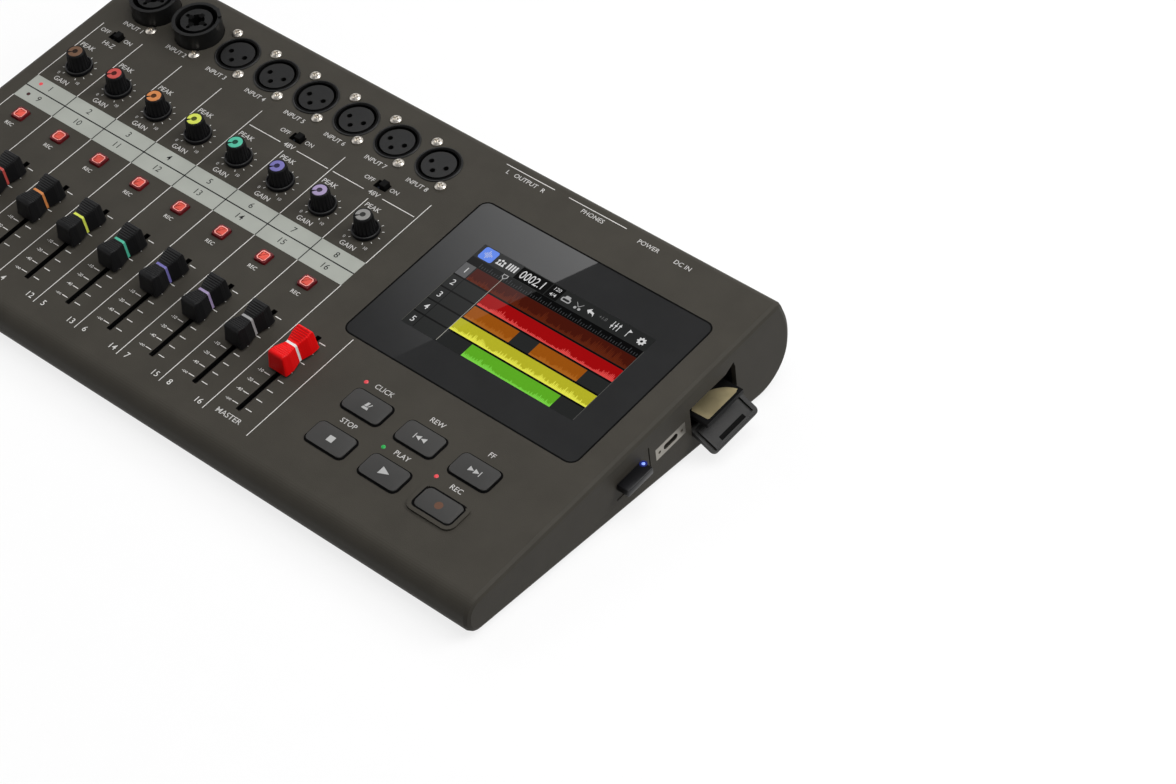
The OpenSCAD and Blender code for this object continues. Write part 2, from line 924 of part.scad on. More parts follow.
usb_l = 19.3;
usb_h = 6.8;
usb_t = 1;
usb_shell_l = 10.4;
usb_shell_h = 4.8;
usb_mouth_l = 9;
usb_mouth_h = 3.3;
usb_depth = 9;
finger_depth = 1.6;

// Mouth of the data socket, a slot with round ends
module usb_mouth(w, h, deep, shallow) {
    on_panel(right_x - deep, usb_v, port_w)
        rotate([90, 0, 90])
            linear_extrude(deep - shallow)
                polygon(round_rect(w, h, h / 2 - eps));
}

module usb_socket() {
    tongue_t = 0.7;
    screw_at = 7.2;
    color(metal_tone) {
        difference() {
            union() {
                side_block(usb_v, port_w, usb_l - 2 * seat_fit, usb_h - 2 * seat_fit, usb_t);
                side_block(usb_v, port_w, usb_shell_l, usb_shell_h, usb_depth, usb_t);
            }
            usb_mouth(usb_mouth_l, usb_mouth_h, usb_depth - 1, -1);
            for (side = [-1, 1])
                on_panel(right_x, usb_v + side * screw_at, port_w)
                    rotate([0, 90, 0])
                        cylinder(d = 1.6, h = 1, center = true);
        }
        side_block(usb_v, port_w, usb_mouth_l - 2.2, tongue_t, usb_depth - 1, usb_t);
    }
}

card_socket_l = cover_l + 2 * gap + 4;
card_socket_margin = 1.4;

module card_socket() {
    bay_l = cover_l + 2 * gap;
    bay_mid = (bay_low_w + bay_high_w) / 2;
    bay_tall = bay_high_w - bay_low_w;
    slot_deep = card_l - card_out + card_travel + 1;
    color([0.16, 0.16, 0.17])
        difference() {
            side_block(card_v, bay_mid, card_socket_l, bay_tall + 2 * card_socket_margin, slot_deep + 2, wall);
            side_block(card_v, bay_mid, bay_l, bay_tall, card_bay_depth);
            side_block(card_v, card_level, card_w + 2 * gap, card_t + 2 * gap, slot_deep);
        }
}

module card_cover() {
    rim_t = 1.1;
    rim_h = 1;
    rim_in = 1.6;
    catch_l = 14;
    tip_r = 2.4;
    tip_y = cover_l / 2 - tip_r;
    tip_z = cover_h - tip_r;
    inside = -cover_t + barrel_r;
    module cover_face(length, low, high, x0, x1) {
        translate([x0, -length / 2, low])
            cube([x1 - x0, length, high - low]);
    }
    color(black_tone)
        on_panel(right_x - barrel_r, card_v, hinge_w)
            rotate([0, cover_open, 0])
                difference() {
                    union() {
                        translate([inside, 0, 0])
                            rotate([90, 0, 90])
                                linear_extrude(cover_t)
                                    polygon(concat(
                                        [[-cover_l / 2, 0], [cover_l / 2, 0]],
                                        [for (t = [0:15:90]) [tip_y + tip_r * cos(t), tip_z + tip_r * sin(t)]],
                                        [for (t = [90:15:180]) [-tip_y + tip_r * cos(t), tip_z + tip_r * sin(t)]]
                                    ));
                        rear_post(2 * barrel_r, -cover_l / 2, cover_l / 2);
                        rear_post(2 * pin_r, -cover_l / 2 - pin_l, cover_l / 2 + pin_l);
                        difference() {
                            cover_face(cover_l - 2 * rim_in, 2.4, cover_h - 1, inside - rim_h, inside + eps);
                            cover_face(cover_l - 2 * (rim_in + rim_t), 2.4 + rim_t, cover_h - 1 - rim_t,
                                inside - rim_h - 1, inside);
                        }
                    }
                    cover_face(catch_l, cover_h - 1 - rim_t - 2, cover_h - 1 - rim_t, inside - eps, inside + 0.9);
                }
}

module memory_card() {
    nick = 3;
    color([0.72, 0.6, 0.35])
        on_panel(right_x + card_out, card_v, card_level - card_t / 2)
            linear_extrude(card_t)
                polygon([
                    [0, -card_w / 2], [0, card_w / 2], [-card_l, card_w / 2],
                    [-card_l, -card_w / 2 + nick], [-card_l + nick, -card_w / 2]
                ]);
}

adapter_level = port_w + 2.3;
adapter_sunk = 0.3;

module adapter_socket() {
    rim = 2;
    deep = adapter_sunk + adapter_l + gap;
    color([0.16, 0.16, 0.17])
        difference() {
            side_block(adapter_v, adapter_level, adapter_w + 2 * (gap + rim), adapter_h + 2 * (gap + rim),
                deep + rim, wall);
            side_block(adapter_v, adapter_level, adapter_w + 2 * gap, adapter_h + 2 * gap, deep);
        }
}

module wireless_adapter() {
    grip_l = 16;
    grip_h = 4;
    grip_shift = 2;
    color(black_tone)
        union() {
            side_block(adapter_v, adapter_level, adapter_w, adapter_h, adapter_sunk + adapter_l, adapter_sunk);
            side_block(adapter_v - grip_shift, adapter_level, grip_l, grip_h, adapter_sunk + 1, -adapter_out);
        }
}

// Rear bay

bush_d = 9.5;
nut_d = 13.4;
dc_bush_d = 8;

module rear_jacks() {
    jack_l = 26;
    jack_w = 14.6;
    nut_t = 1.8;
    bush_out = 2.6;
    color(black_tone)
        for (x = concat(output_x, [phones_x]))
            translate([x, 0, rear_z])
                difference() {
                    union() {
                        bay_block(jack_w, jack_w, bay_in_y - jack_l, bay_in_y);
                        rear_post(bush_d, bay_in_y - eps, bay_y + bush_out);
                        rear_post(nut_d, bay_y, bay_y + nut_t, 6);
                    }
                    rear_post(plug_bore, bay_in_y - jack_l + 2, bay_y + bush_out + 1);
                    rear_post(plug_bore + 0.8, bay_in_y - 1, bay_y + bush_out + 1);
                }
}

module dc_inlet() {
    inlet_w = 10;
    inlet_l = 14;
    contact_d = 2;
    color(black_tone)
        translate([dc_x, 0, rear_z]) {
            difference() {
                union() {
                    bay_block(inlet_w, inlet_w, bay_in_y - inlet_l, bay_in_y);
                    rear_post(dc_bush_d, bay_in_y - eps, bay_y);
                }
                rear_post(5.6, bay_in_y - 9, bay_y + 1);
            }
            rear_post(contact_d, bay_in_y - 9, bay_y - 1);
        }
}

module phones_knob() {
    stand = 6.6;
    color(black_tone)
        translate([phones_knob_x, 0, rear_z])
            difference() {
                union() {
                    rear_post(phones_knob_d, bay_y + gap, bay_y + stand);
                    rear_post(shaft_d, bay_in_y - shaft_depth, bay_y + gap + eps);
                }
                translate([0, bay_y + stand, phones_knob_d / 4])
                    cube([0.8, 1, phones_knob_d / 2], center = true);
            }
}

// Knobs, faders and keys

module gain_knob(i) {
    skirt_low = 0.5;
    skirt_high = 1.7;
    neck = knob_top_d / 2 + 0.6;
    pointer_w = 1.2;
    color(black_tone)
        on_panel(knob_x(i), knob_v) {
            difference() {
                rotate_extrude()
                    polygon([
                        [0, skirt_low], [knob_d / 2, skirt_low], [knob_d / 2, skirt_high],
                        [knob_d / 2 - 0.5, skirt_high + 0.6], [neck + 0.5, skirt_high + 1.6],
                        [neck - 0.1, skirt_high + 3], [knob_top_d / 2 + 0.1, knob_h - 0.4],
                        [knob_top_d / 2 - 0.3, knob_h], [0, knob_h]
                    ]);
                rotate(90 + knob_turn / 2 - knob_rest)
                    translate([0, -pointer_w / 2, knob_h - 0.5])
                        cube([knob_d, pointer_w, 1]);
            }
            post(shaft_d, board_w + pot_h - shaft_depth, skirt_low);
        }
    color(lane_tones[(i - 1) % len(lane_tones)])
        on_panel(knob_x(i), knob_v)
            difference() {
                post(knob_top_d - 2.2, knob_h, knob_h + 0.2);
                post(knob_top_d - 5.6, knob_h - 1, knob_h + 1);
                rotate(90 + knob_turn / 2 - knob_rest)
                    translate([0, -pointer_w / 2, knob_h - 1])
                        cube([knob_d, pointer_w, 2]);
            }
}

// Cap: a bow-tie from above, with drafted sides and a valley across its top
module fader_cap() {
    low = 1.3;
    half = cap_l / 2;
    top_half = half - 1.5;
    draft = 1.2;
    crown = cap_h - 1.2;
    intersection() {
        translate([-cap_w, 0, 0])
            rotate([90, 0, 90])
                linear_extrude(2 * cap_w)
                    polygon([
                        [-half, low], [half, low], [half - 0.6, crown], [top_half, cap_h],
                        [0.6, cap_h - cap_valley], [-0.6, cap_h - cap_valley],
                        [-top_half, cap_h], [-half + 0.6, crown]
                    ]);
        translate([0, cap_l, 0])
            rotate([90, 0, 0])
                linear_extrude(2 * cap_l)
                    polygon([
                        [-cap_w / 2, low], [cap_w / 2, low],
                        [cap_w / 2 - draft, cap_h + 1], [-cap_w / 2 + draft, cap_h + 1]
                    ]);
        linear_extrude(2 * cap_h)
            polygon([
                [-cap_w / 2, -half], [cap_w / 2, -half], [cap_w / 2, -half * 0.55],
                [cap_waist / 2, -0.6], [cap_waist / 2, 0.6],
                [cap_w / 2, half * 0.55], [cap_w / 2, half], [-cap_w / 2, half],
                [-cap_w / 2, half * 0.55], [-cap_waist / 2, 0.6], [-cap_waist / 2, -0.6],
                [-cap_w / 2, -half * 0.55]
            ]);
    }
    block(lever_t, lever_l, board_w + fader_floor + lever_clear, low);
}

module fader(i) {
    color(i == MASTER ? [0.8, 0.05, 0.06] : black_tone)
        on_panel(strip_x(i), fader_rest_v)
            fader_cap();
}

// Key: cap in the panel hole, lip under the panel and stem over its switch
key_r = 2.2;
module key_piece(w, d, r, high) {
    lip_top = -wall - gap;
    stem_low = board_w + tact_h + tact_cap_h + key_travel + gap;
    plate(w, d, r, lip_top - eps, high);
    plate(w + 2 * key_lip, d + 2 * key_lip, r, lip_top - key_lip_t, lip_top);
    post(3.4, stem_low, lip_top - key_lip_t + eps);
}

module arm_key(i) {
    color([0.9, 0.25, 0.22])
        on_panel(strip_x(i), arm_v)
            key_piece(arm_side, arm_side, 0.8, arm_h);
}

module transport_key(k) {
    color([0.2, 0.2, 0.2])
        on_panel(column_x(k), row_v(k))
            key_piece(key_w, key_d, key_r, key_h);
}

upper_case();
lower_case();
rubber_feet();
case_screws();
display_window();
lcd_module();
control_board();
main_board();
fader_bodies();
rotary_pots();
switch_bodies();
tact_switches();
indicator_lenses();
xlr_jacks();
combo_jacks();
jack_screws();
usb_socket();
card_socket();
adapter_socket();
rear_jacks();
dc_inlet();
for (i = [1:STRIPS])
    gain_knob(i);
for (i = [1:STRIPS])
    fader(i);
fader(MASTER);  // fader_master
for (i = [1:STRIPS])
    arm_key(i);
for (k = [0:5])
    transport_key(k);
panel_switch(switch_xs[0]);  // hi_z_switch
panel_switch(switch_xs[1]);  // phantom_switch_a
panel_switch(switch_xs[2]);  // phantom_switch_b
card_cover();
memory_card();
wireless_adapter();
power_switch();
phones_knob();
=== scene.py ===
import bmesh
import bpy
import math
import random
from mathutils import Matrix, Quaternion, Vector


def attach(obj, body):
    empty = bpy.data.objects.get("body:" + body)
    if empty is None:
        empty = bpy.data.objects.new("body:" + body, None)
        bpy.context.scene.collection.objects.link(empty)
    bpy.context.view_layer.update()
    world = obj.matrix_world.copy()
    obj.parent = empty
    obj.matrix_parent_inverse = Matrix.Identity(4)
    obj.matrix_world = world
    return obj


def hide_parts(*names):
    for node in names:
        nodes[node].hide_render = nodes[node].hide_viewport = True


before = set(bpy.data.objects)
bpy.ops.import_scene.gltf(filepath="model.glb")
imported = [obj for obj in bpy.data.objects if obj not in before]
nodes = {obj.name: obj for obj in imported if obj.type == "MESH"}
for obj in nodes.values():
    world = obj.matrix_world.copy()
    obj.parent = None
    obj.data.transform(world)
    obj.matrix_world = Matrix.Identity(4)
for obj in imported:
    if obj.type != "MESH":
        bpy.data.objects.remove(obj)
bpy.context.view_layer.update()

# Camera and studio.
# A long lens looks down on the recorder from its front right, as in a catalogue picture.
# A white floor and soft boxes give even light, with the brighter box at the rear right.
scene = bpy.context.scene
scene.view_settings.view_transform = "Standard"

LENS_MM = 97.35
SENSOR_MM = 36.0
CAMERA_AT = Vector((0.77982, -0.7273, 0.9241))
CAMERA_RIGHT = Vector((0.76165, 0.64799, 0.00216))
CAMERA_DOWN = Vector((0.43957, -0.51421, -0.73646))
CAMERA_FORWARD = Vector((-0.47610, 0.56187, -0.67648))

camera_data = bpy.data.cameras.new("camera")
camera_data.lens = LENS_MM
camera_data.sensor_width = SENSOR_MM
camera = bpy.data.objects.new("camera", camera_data)
scene.collection.objects.link(camera)
camera.matrix_world = Matrix((
    (CAMERA_RIGHT.x, -CAMERA_DOWN.x, -CAMERA_FORWARD.x, CAMERA_AT.x),
    (CAMERA_RIGHT.y, -CAMERA_DOWN.y, -CAMERA_FORWARD.y, CAMERA_AT.y),
    (CAMERA_RIGHT.z, -CAMERA_DOWN.z, -CAMERA_FORWARD.z, CAMERA_AT.z),
    (0, 0, 0, 1),
))
scene.camera = camera

world = bpy.data.worlds.new("studio")
world.use_nodes = True
scene.world = world
sky = world.node_tree
ROOM_GREY = (0.17, 0.17, 0.174, 1)
BACKDROP_LOW, BACKDROP_HIGH = 0.3, 0.5


def combine(tree, operation, first, second):
    node = tree.nodes.new("ShaderNodeMath")
    node.operation = operation
    for source, socket in ((first, node.inputs[0]), (second, node.inputs[1])):
        if isinstance(source, float):
            socket.default_value = source
        else:
            tree.links.new(source, socket)
    return node.outputs["Value"]


# The camera sees white all round. Gloss sees a white backdrop up to a height, and a grey room above it.
sky_path = sky.nodes.new("ShaderNodeLightPath").outputs
sky_way = sky.nodes.new("ShaderNodeSeparateXYZ")
sky.links.new(sky.nodes.new("ShaderNodeTexCoord").outputs["Generated"], sky_way.inputs["Vector"])
backdrop = sky.nodes.new("ShaderNodeMapRange")
backdrop.inputs["From Min"].default_value = BACKDROP_LOW
backdrop.inputs["From Max"].default_value = BACKDROP_HIGH
backdrop.inputs["To Min"].default_value = 1
backdrop.inputs["To Max"].default_value = 0
sky.links.new(sky_way.outputs["Z"], backdrop.inputs["Value"])
mirrored = combine(sky, "ADD", sky_path["Is Glossy Ray"], sky_path["Is Transmission Ray"])
mirrored = combine(sky, "MULTIPLY", mirrored, backdrop.outputs["Result"])
sky_mix = sky.nodes.new("ShaderNodeMix")
sky_mix.data_type = "RGBA"
sky_mix.inputs["A"].default_value = ROOM_GREY
sky_mix.inputs["B"].default_value = (1, 1, 1, 1)
sky.links.new(combine(sky, "ADD", mirrored, sky_path["Is Camera Ray"]), sky_mix.inputs["Factor"])
sky.links.new(sky_mix.outputs["Result"], sky.nodes["Background"].inputs["Color"])


def soft_box(name, at, target, size, watts, fade=None, roll=0):
    """A rectangular lamp, rolled in its own plane. fade gives the two places between which it dims to nothing."""
    data = bpy.data.lights.new(name, "AREA")
    data.shape = "RECTANGLE"
    data.size, data.size_y = size
    data.energy = watts
    if fade:
        data.use_nodes = True
        tree = data.node_tree
        across = tree.nodes.new("ShaderNodeSeparateXYZ")
        tree.links.new(tree.nodes.new("ShaderNodeNewGeometry").outputs["Parametric"], across.inputs["Vector"])
        dim = tree.nodes.new("ShaderNodeMapRange")
        dim.interpolation_type = "SMOOTHSTEP"
        dim.inputs["From Min"].default_value, dim.inputs["From Max"].default_value = fade
        dim.inputs["To Min"].default_value, dim.inputs["To Max"].default_value = 1, 0
        tree.links.new(across.outputs["X"], dim.inputs["Value"])
        tree.links.new(dim.outputs["Result"], tree.nodes["Emission"].inputs["Strength"])
    light = bpy.data.objects.new(name, data)
    light.location = at
    aim = (Vector(target) - Vector(at)).to_track_quat("-Z", "Y")
    light.rotation_euler = (aim @ Quaternion((0, 0, 1), math.radians(roll))).to_euler()
    scene.collection.objects.link(light)


soft_box("box_rear_right", (1.1, 0.9, 1.3), (0.05, 0, 0.02), (1.2, 1.0), 16)
soft_box("box_over", (0.35, -0.05, 1.6), (0, 0, 0), (1.2, 1.0), 12.8)
soft_box("box_left", (-1.4, -0.2, 1.0), (0, 0, 0.02), (0.8, 1.0), 3)
soft_box("box_in_window", (-0.639, 0.662, 0.923), (0.012, 0.209, -0.107), (0.7, 0.404), 2.35, (0.44, 0.88), 6)


def shader(name):
    """A new material with its tree, its main shader and a coordinate node."""
    mat = bpy.data.materials.new(name)
    mat.use_nodes = True
    tree = mat.node_tree
    coords = tree.nodes.new("ShaderNodeTexCoord")
    return mat, tree, tree.nodes["Principled BSDF"], coords


def noise(tree, coords, scale, detail=3.0):
    node = tree.nodes.new("ShaderNodeTexNoise")
    node.inputs["Scale"].default_value = scale
    node.inputs["Detail"].default_value = detail
    tree.links.new(coords.outputs["Object"], node.inputs["Vector"])
    return node


def ramp(tree, source, low, high, start=0.35, end=0.65):
    """Colours from low to high over a texture's value."""
    node = tree.nodes.new("ShaderNodeValToRGB")
    for stop, place, tone in zip(node.color_ramp.elements, (start, end), (low, high)):
        stop.position = place
        stop.color = (*tone, 1)
    tree.links.new(source, node.inputs["Fac"])
    return node.outputs["Color"]


def material(name, tone, rough=0.5, spread=0.08, grain=1600, bump=0.0, metal=0.0, coat=0.0, glow=0.0,
             through=0.0, spec=0.5):
    """A moulded, plated or printed surface: its tone and gloss vary, and a fine grain lifts it."""
    mat, tree, main, coords = shader(name)
    cloud = noise(tree, coords, 60)
    low = tuple(c * (1 - spread) for c in tone)
    high = tuple(min(1, c * (1 + spread)) for c in tone)
    tree.links.new(ramp(tree, cloud.outputs["Fac"], low, high), main.inputs["Base Color"])
    fine = noise(tree, coords, grain)
    gloss = tree.nodes.new("ShaderNodeMapRange")
    gloss.inputs["To Min"].default_value = rough * 0.88
    gloss.inputs["To Max"].default_value = min(1, rough * 1.12)
    tree.links.new(fine.outputs["Fac"], gloss.inputs["Value"])
    tree.links.new(gloss.outputs["Result"], main.inputs["Roughness"])
    if bump:
        lift = tree.nodes.new("ShaderNodeBump")
        lift.inputs["Strength"].default_value = bump
        lift.inputs["Distance"].default_value = 0.0002
        tree.links.new(fine.outputs["Fac"], lift.inputs["Height"])
        tree.links.new(lift.outputs["Normal"], main.inputs["Normal"])
    main.inputs["Metallic"].default_value = metal
    main.inputs["Coat Weight"].default_value = coat
    main.inputs["Specular IOR Level"].default_value = spec
    main.inputs["Transmission Weight"].default_value = through
    if glow:
        main.inputs["Emission Color"].default_value = (*tone, 1)
        main.inputs["Emission Strength"].default_value = glow
    return mat


# The paper is grey to the lamps, and its own glow makes it white to the camera and in reflections.
FLOOR_WHITE = 0.81
FLOOR_HALF = 6
floor_bm = bmesh.new()
bmesh.ops.create_grid(floor_bm, x_segments=1, y_segments=1, size=FLOOR_HALF)
floor_mesh = bpy.data.meshes.new("floor")
floor_bm.to_mesh(floor_mesh)
floor_bm.free()
floor = bpy.data.objects.new("floor", floor_mesh)
scene.collection.objects.link(floor)
floor_mat = material("floor_paper", (0.2, 0.2, 0.2), 0.9, 0.01, 300, spec=0.0)
floor_tree = floor_mat.node_tree
floor_main = floor_tree.nodes["Principled BSDF"]
floor_path = floor_tree.nodes.new("ShaderNodeLightPath").outputs
floor_seen = combine(floor_tree, "ADD", floor_path["Is Glossy Ray"], floor_path["Is Transmission Ray"])
floor_seen = combine(floor_tree, "ADD", floor_seen, floor_path["Is Camera Ray"])
floor_main.inputs["Emission Color"].default_value = (1, 1, 1, 1)
floor_tree.links.new(combine(floor_tree, "MULTIPLY", floor_seen, FLOOR_WHITE), floor_main.inputs["Emission Strength"])
floor_mesh.materials.append(floor_mat)

# Case halves.
# Two injection-moulded ABS shells meet at a seam near the table and are screwed from below.
# Their warm dark grey surface has the fine grain of a spark-eroded mould.
ROOT = "recorder"
TILT = math.radians(8.2)
PANEL_Z = 34.6
PANEL = Matrix.Scale(0.001, 4) @ Matrix.Translation((0, 0, PANEL_Z)) @ Matrix.Rotation(TILT, 4, "X")
case_mat = material("case_grain", (0.0567, 0.0517, 0.0424), 0.55, 0.05, 2600, 0.25, spec=0.12)


def paint(mat, *names):
    for name in names:
        for part in nodes[name].material_slots:
            part.material = mat


paint(case_mat, "upper_case", "lower_case")
paint(material("foot_rubber", (0.016, 0.016, 0.016), 0.8, 0.15, 900, 0.3), "rubber_feet")
paint(material("case_screw_steel", (0.45, 0.45, 0.44), 0.35, 0.1, 900, 0.1, 1.0), "case_screws")

# Panel print.
# Screen-printed lines, numerals and a pale number band lie on the sloped panel.
# The ink is a few hundredths of a millimetre thick, light grey on the case and black on the band.
INK_W = 0.03
BAND_W = 0.02
STRIP_PITCH = 26.0
LEFT_LINE = -179.3
LINE = 0.4
BAND_TOP, BAND_MID, BAND_LOW = 10.56, 2.95, -5.19
DIVIDER_TOP, DIVIDER_LOW = 53.24, -90.7
FADER_TICK = 6.45
UNITY_V = -47.9
KNOB_V = 24.9
JACK_8, JACK_PITCH, JACK_V = 14.5, 25.1, 74.0
SWITCH_XS, SWITCH_V = (-166.7, -49.3, 2.7), 49.6
KEY_X, KEY_V, KEY_PITCH_X, KEY_PITCH_V = 115.4, -60.8, 30.0, 22.0
WINDOW_AT, WINDOW_W, WINDOW_D = (110.8, 23.0), 128.6, 92.6


def strip_x(i):
    return LEFT_LINE + (i - 0.5) * STRIP_PITCH


SHARP = math.radians(35)


def piece(name, bm, mats, body, place=PANEL, stands_for=(), sharp=SHARP):
    """Turn a bmesh in millimetres into a finished piece that rides on a body."""
    bmesh.ops.remove_doubles(bm, verts=bm.verts, dist=0.0005)
    bmesh.ops.recalc_face_normals(bm, faces=bm.faces)
    bm.transform(place)
    mesh = bpy.data.meshes.new(name)
    bm.to_mesh(mesh)
    bm.free()
    for mat in mats:
        mesh.materials.append(mat)
    mesh.shade_smooth()
    mesh.set_sharp_from_angle(angle=sharp)
    obj = bpy.data.objects.new(name, mesh)
    scene.collection.objects.link(obj)
    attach(obj, body)
    if stands_for:
        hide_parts(*stands_for)
    return obj


def flat(bm, points, w, mat=0):
    """One flat printed shape on the panel."""
    face = bm.faces.new([bm.verts.new((x, v, w)) for x, v in points])
    face.material_index = mat
    return face


def bar(bm, x0, v0, x1, v1, w, mat=0):
    flat(bm, [(x0, v0), (x1, v0), (x1, v1), (x0, v1)], w, mat)


def round_rect(width, depth, radius, at=(0, 0), steps=6):
    points = []
    for q, (sx, sy) in enumerate(((1, 1), (-1, 1), (-1, -1), (1, -1))):
        for s in range(steps + 1):
            turn = math.radians(90 * q + 90 * s / steps)
            points.append((at[0] + sx * (width / 2 - radius) + radius * math.cos(turn),
                           at[1] + sy * (depth / 2 - radius) + radius * math.sin(turn)))
    return points


def outline(bm, points, w, closed=True):
    """A chain of edges through (x, v) points at one height."""
    corners = [bm.verts.new((x, v, w)) for x, v in points]
    return [bm.edges.new((corners[k - 1], corners[k])) for k in range(0 if closed else 1, len(corners))]


def ring(bm, outer, inner, w, mat=0, closed=True):
    """A flat band between two outlines."""
    chains = outline(bm, outer, w, closed) + outline(bm, inner, w, closed)
    for face in bmesh.ops.bridge_loops(bm, edges=chains)["faces"]:
        face.material_index = mat


def words(bm, text, x, v, size, w=INK_W, mat=1, wide=1.0):
    """Flat lettering with its middle at (x, v). wide stretches it across."""
    curve = bpy.data.curves.new("lettering", "FONT")
    curve.body = text
    curve.size = size
    curve.align_x = "CENTER"
    curve.align_y = "CENTER"
    curve.resolution_u = 3
    curve.offset = 0.002 * size
    holder = bpy.data.objects.new("lettering", curve)
    mesh = bpy.data.meshes.new_from_object(holder)
    mesh.transform(Matrix.Translation((x, v, w)) @ Matrix.Diagonal((wide, 1, 1, 1)))
    for face in mesh.polygons:
        face.material_index = mat
    bm.from_mesh(mesh)
    bpy.data.meshes.remove(mesh)
    bpy.data.objects.remove(holder)
    bpy.data.curves.remove(curve)


ink_mat = material("panel_ink", (0.74, 0.73, 0.70), 0.6, 0.06, 1500, spec=0.2)
dim_ink_mat = material("fine_ink", (0.62, 0.61, 0.59), 0.6, 0.06, 1500, spec=0.2)
band_mat = material("band_ink", (0.415, 0.432, 0.39), 0.55, 0.04, 1800, 0.1, spec=0.2)
dark_ink_mat = material("band_black", (0.012, 0.012, 0.012), 0.6, 0.1, 1500, spec=0.2)
INK, FINE, BAND, DARK, SEAM_AND_SHADE = range(5)

BAND_RIGHT = LEFT_LINE + 8 * STRIP_PITCH
BAND_LINE_HALF, BAND_TICK_HALF = 0.33, 0.27
SHORT_LINES, SHORT_TOP, MASTER_TOP = (5, 7), 40.2, -25.3
print_bm = bmesh.new()
bar(print_bm, LEFT_LINE, BAND_LOW, BAND_RIGHT, BAND_TOP, BAND_W, BAND)
bar(print_bm, LEFT_LINE, BAND_MID - BAND_LINE_HALF, BAND_RIGHT, BAND_MID + BAND_LINE_HALF, INK_W, DARK)
for i in range(9):
    x = LEFT_LINE + i * STRIP_PITCH
    top = SHORT_TOP if i in SHORT_LINES else DIVIDER_TOP
    bar(print_bm, x - LINE / 2, BAND_TOP, x + LINE / 2, top, INK_W)
    bar(print_bm, x - LINE / 2, DIVIDER_LOW, x + LINE / 2, BAND_LOW, INK_W)
    if 0 < i < 8:
        bar(print_bm, x - BAND_TICK_HALF, BAND_LOW, x + BAND_TICK_HALF, BAND_TOP, INK_W, DARK)
master_line = LEFT_LINE + 9 * STRIP_PITCH
bar(print_bm, master_line - LINE / 2, DIVIDER_LOW, master_line + LINE / 2, MASTER_TOP, INK_W)

# Words and numerals of the strips. The collars of the first two sockets push their names to the left.
INPUT_XS = [-165.2, -136.8] + [JACK_8 + 0.4 - JACK_PITCH * k for k in range(5, -1, -1)]
INPUT_V, INPUT_SIZE = 58.9, 3.5
BAND_SIZE, FRONT_SIZE, FRONT_OUT, FRONT_V = 4.7, 4.3, 8.6, -88.6
STRIP_WORDS = (("GAIN", -1.0, 13.8, 3.7, FINE), ("PEAK", -7.4, 37.1, 3.7, FINE), ("REC", -0.4, -20.0, 2.8, INK))
MASTER_AT, MASTER_SIZE = (strip_x(9) - 0.8, -87.4), 3.9
for i in range(1, 9):
    x = strip_x(i)
    words(print_bm, str(i), x - 0.8, (BAND_TOP + BAND_MID) / 2, BAND_SIZE, INK_W, DARK)
    words(print_bm, str(i + 8), x - 0.6, (BAND_LOW + BAND_MID) / 2, BAND_SIZE, INK_W, DARK)
    words(print_bm, str(i), x - FRONT_OUT, FRONT_V, FRONT_SIZE, INK_W, INK)
    words(print_bm, str(i + 8), x + FRONT_OUT, FRONT_V, FRONT_SIZE, INK_W, INK)
    for name, across, v, size, ink in STRIP_WORDS:
        words(print_bm, name, x + across, v, size, INK_W, ink)
    words(print_bm, f"INPUT {i}", INPUT_XS[i - 1], INPUT_V, INPUT_SIZE)
words(print_bm, "MASTER", *MASTER_AT, MASTER_SIZE)

# Ticks round the gain knobs and beside the fader slots.
TICK_IN, TICK_OUT, TICK_HALF = 7.1, 8.2, 0.17
END_MARKS, MARK_SIZE = (("0", -6.1, -7.8), ("10", 6.6, -8.1)), 2.3
for i in range(1, 9):
    middle = Vector((strip_x(i), KNOB_V))
    for step in range(11):
        turn = math.radians(240 - 30 * step)
        out = Vector((math.cos(turn), math.sin(turn)))
        side = Vector((-out.y, out.x)) * TICK_HALF
        inner, outer = middle + out * TICK_IN, middle + out * TICK_OUT
        flat(print_bm, [inner - side, outer - side, outer + side, inner + side], INK_W)
    for mark, across, along in END_MARKS:
        words(print_bm, mark, middle.x + across, KNOB_V + along, MARK_SIZE)
SCALE_X, SCALE_LINE, SHORT_HALF, LONG_HALF = 4.0, 0.2, 0.8, 1.7
LOW_FROM, LOW_TO, LOW_WORD = -5.5, -2.2, -7.7
LOW_MARKS = {2: "-10", 3: "-20", 4: "-40", 5: "-oo"}
for i in range(1, 10):
    x = strip_x(i)
    for step in range(-2, 6):
        v = UNITY_V - step * FADER_TICK
        half = SHORT_HALF if step in (-1, 1) else LONG_HALF
        bar(print_bm, x + SCALE_X - half, v - SCALE_LINE, x + SCALE_X + half, v + SCALE_LINE, INK_W)
        if step in LOW_MARKS:
            bar(print_bm, x + LOW_FROM, v - SCALE_LINE, x + LOW_TO, v + SCALE_LINE, INK_W)
            words(print_bm, LOW_MARKS[step], x + LOW_WORD, v, MARK_SIZE, INK_W, INK)

# Marks of the slide switches, with the line that joins the inputs each of them feeds.
JOIN_V, SWITCH_SIZE, SIGN_SIZE = 43.5, 3.2, 3.8
for start, end in ((-73.8, -54.4), (-44.2, -24.8), (-21.8, -3.0), (8.2, 27.2)):
    bar(print_bm, start, JOIN_V - LINE / 2, end, JOIN_V + LINE / 2, INK_W)
for x, sign in zip(SWITCH_XS, ("Hi-Z", "48V", "48V")):
    words(print_bm, "OFF", x - 8.0, SWITCH_V + 0.2, SWITCH_SIZE)
    words(print_bm, "ON", x + 7.0, SWITCH_V + 0.1, SWITCH_SIZE)
    words(print_bm, sign, x + 0.1, JOIN_V + 0.3, SIGN_SIZE)

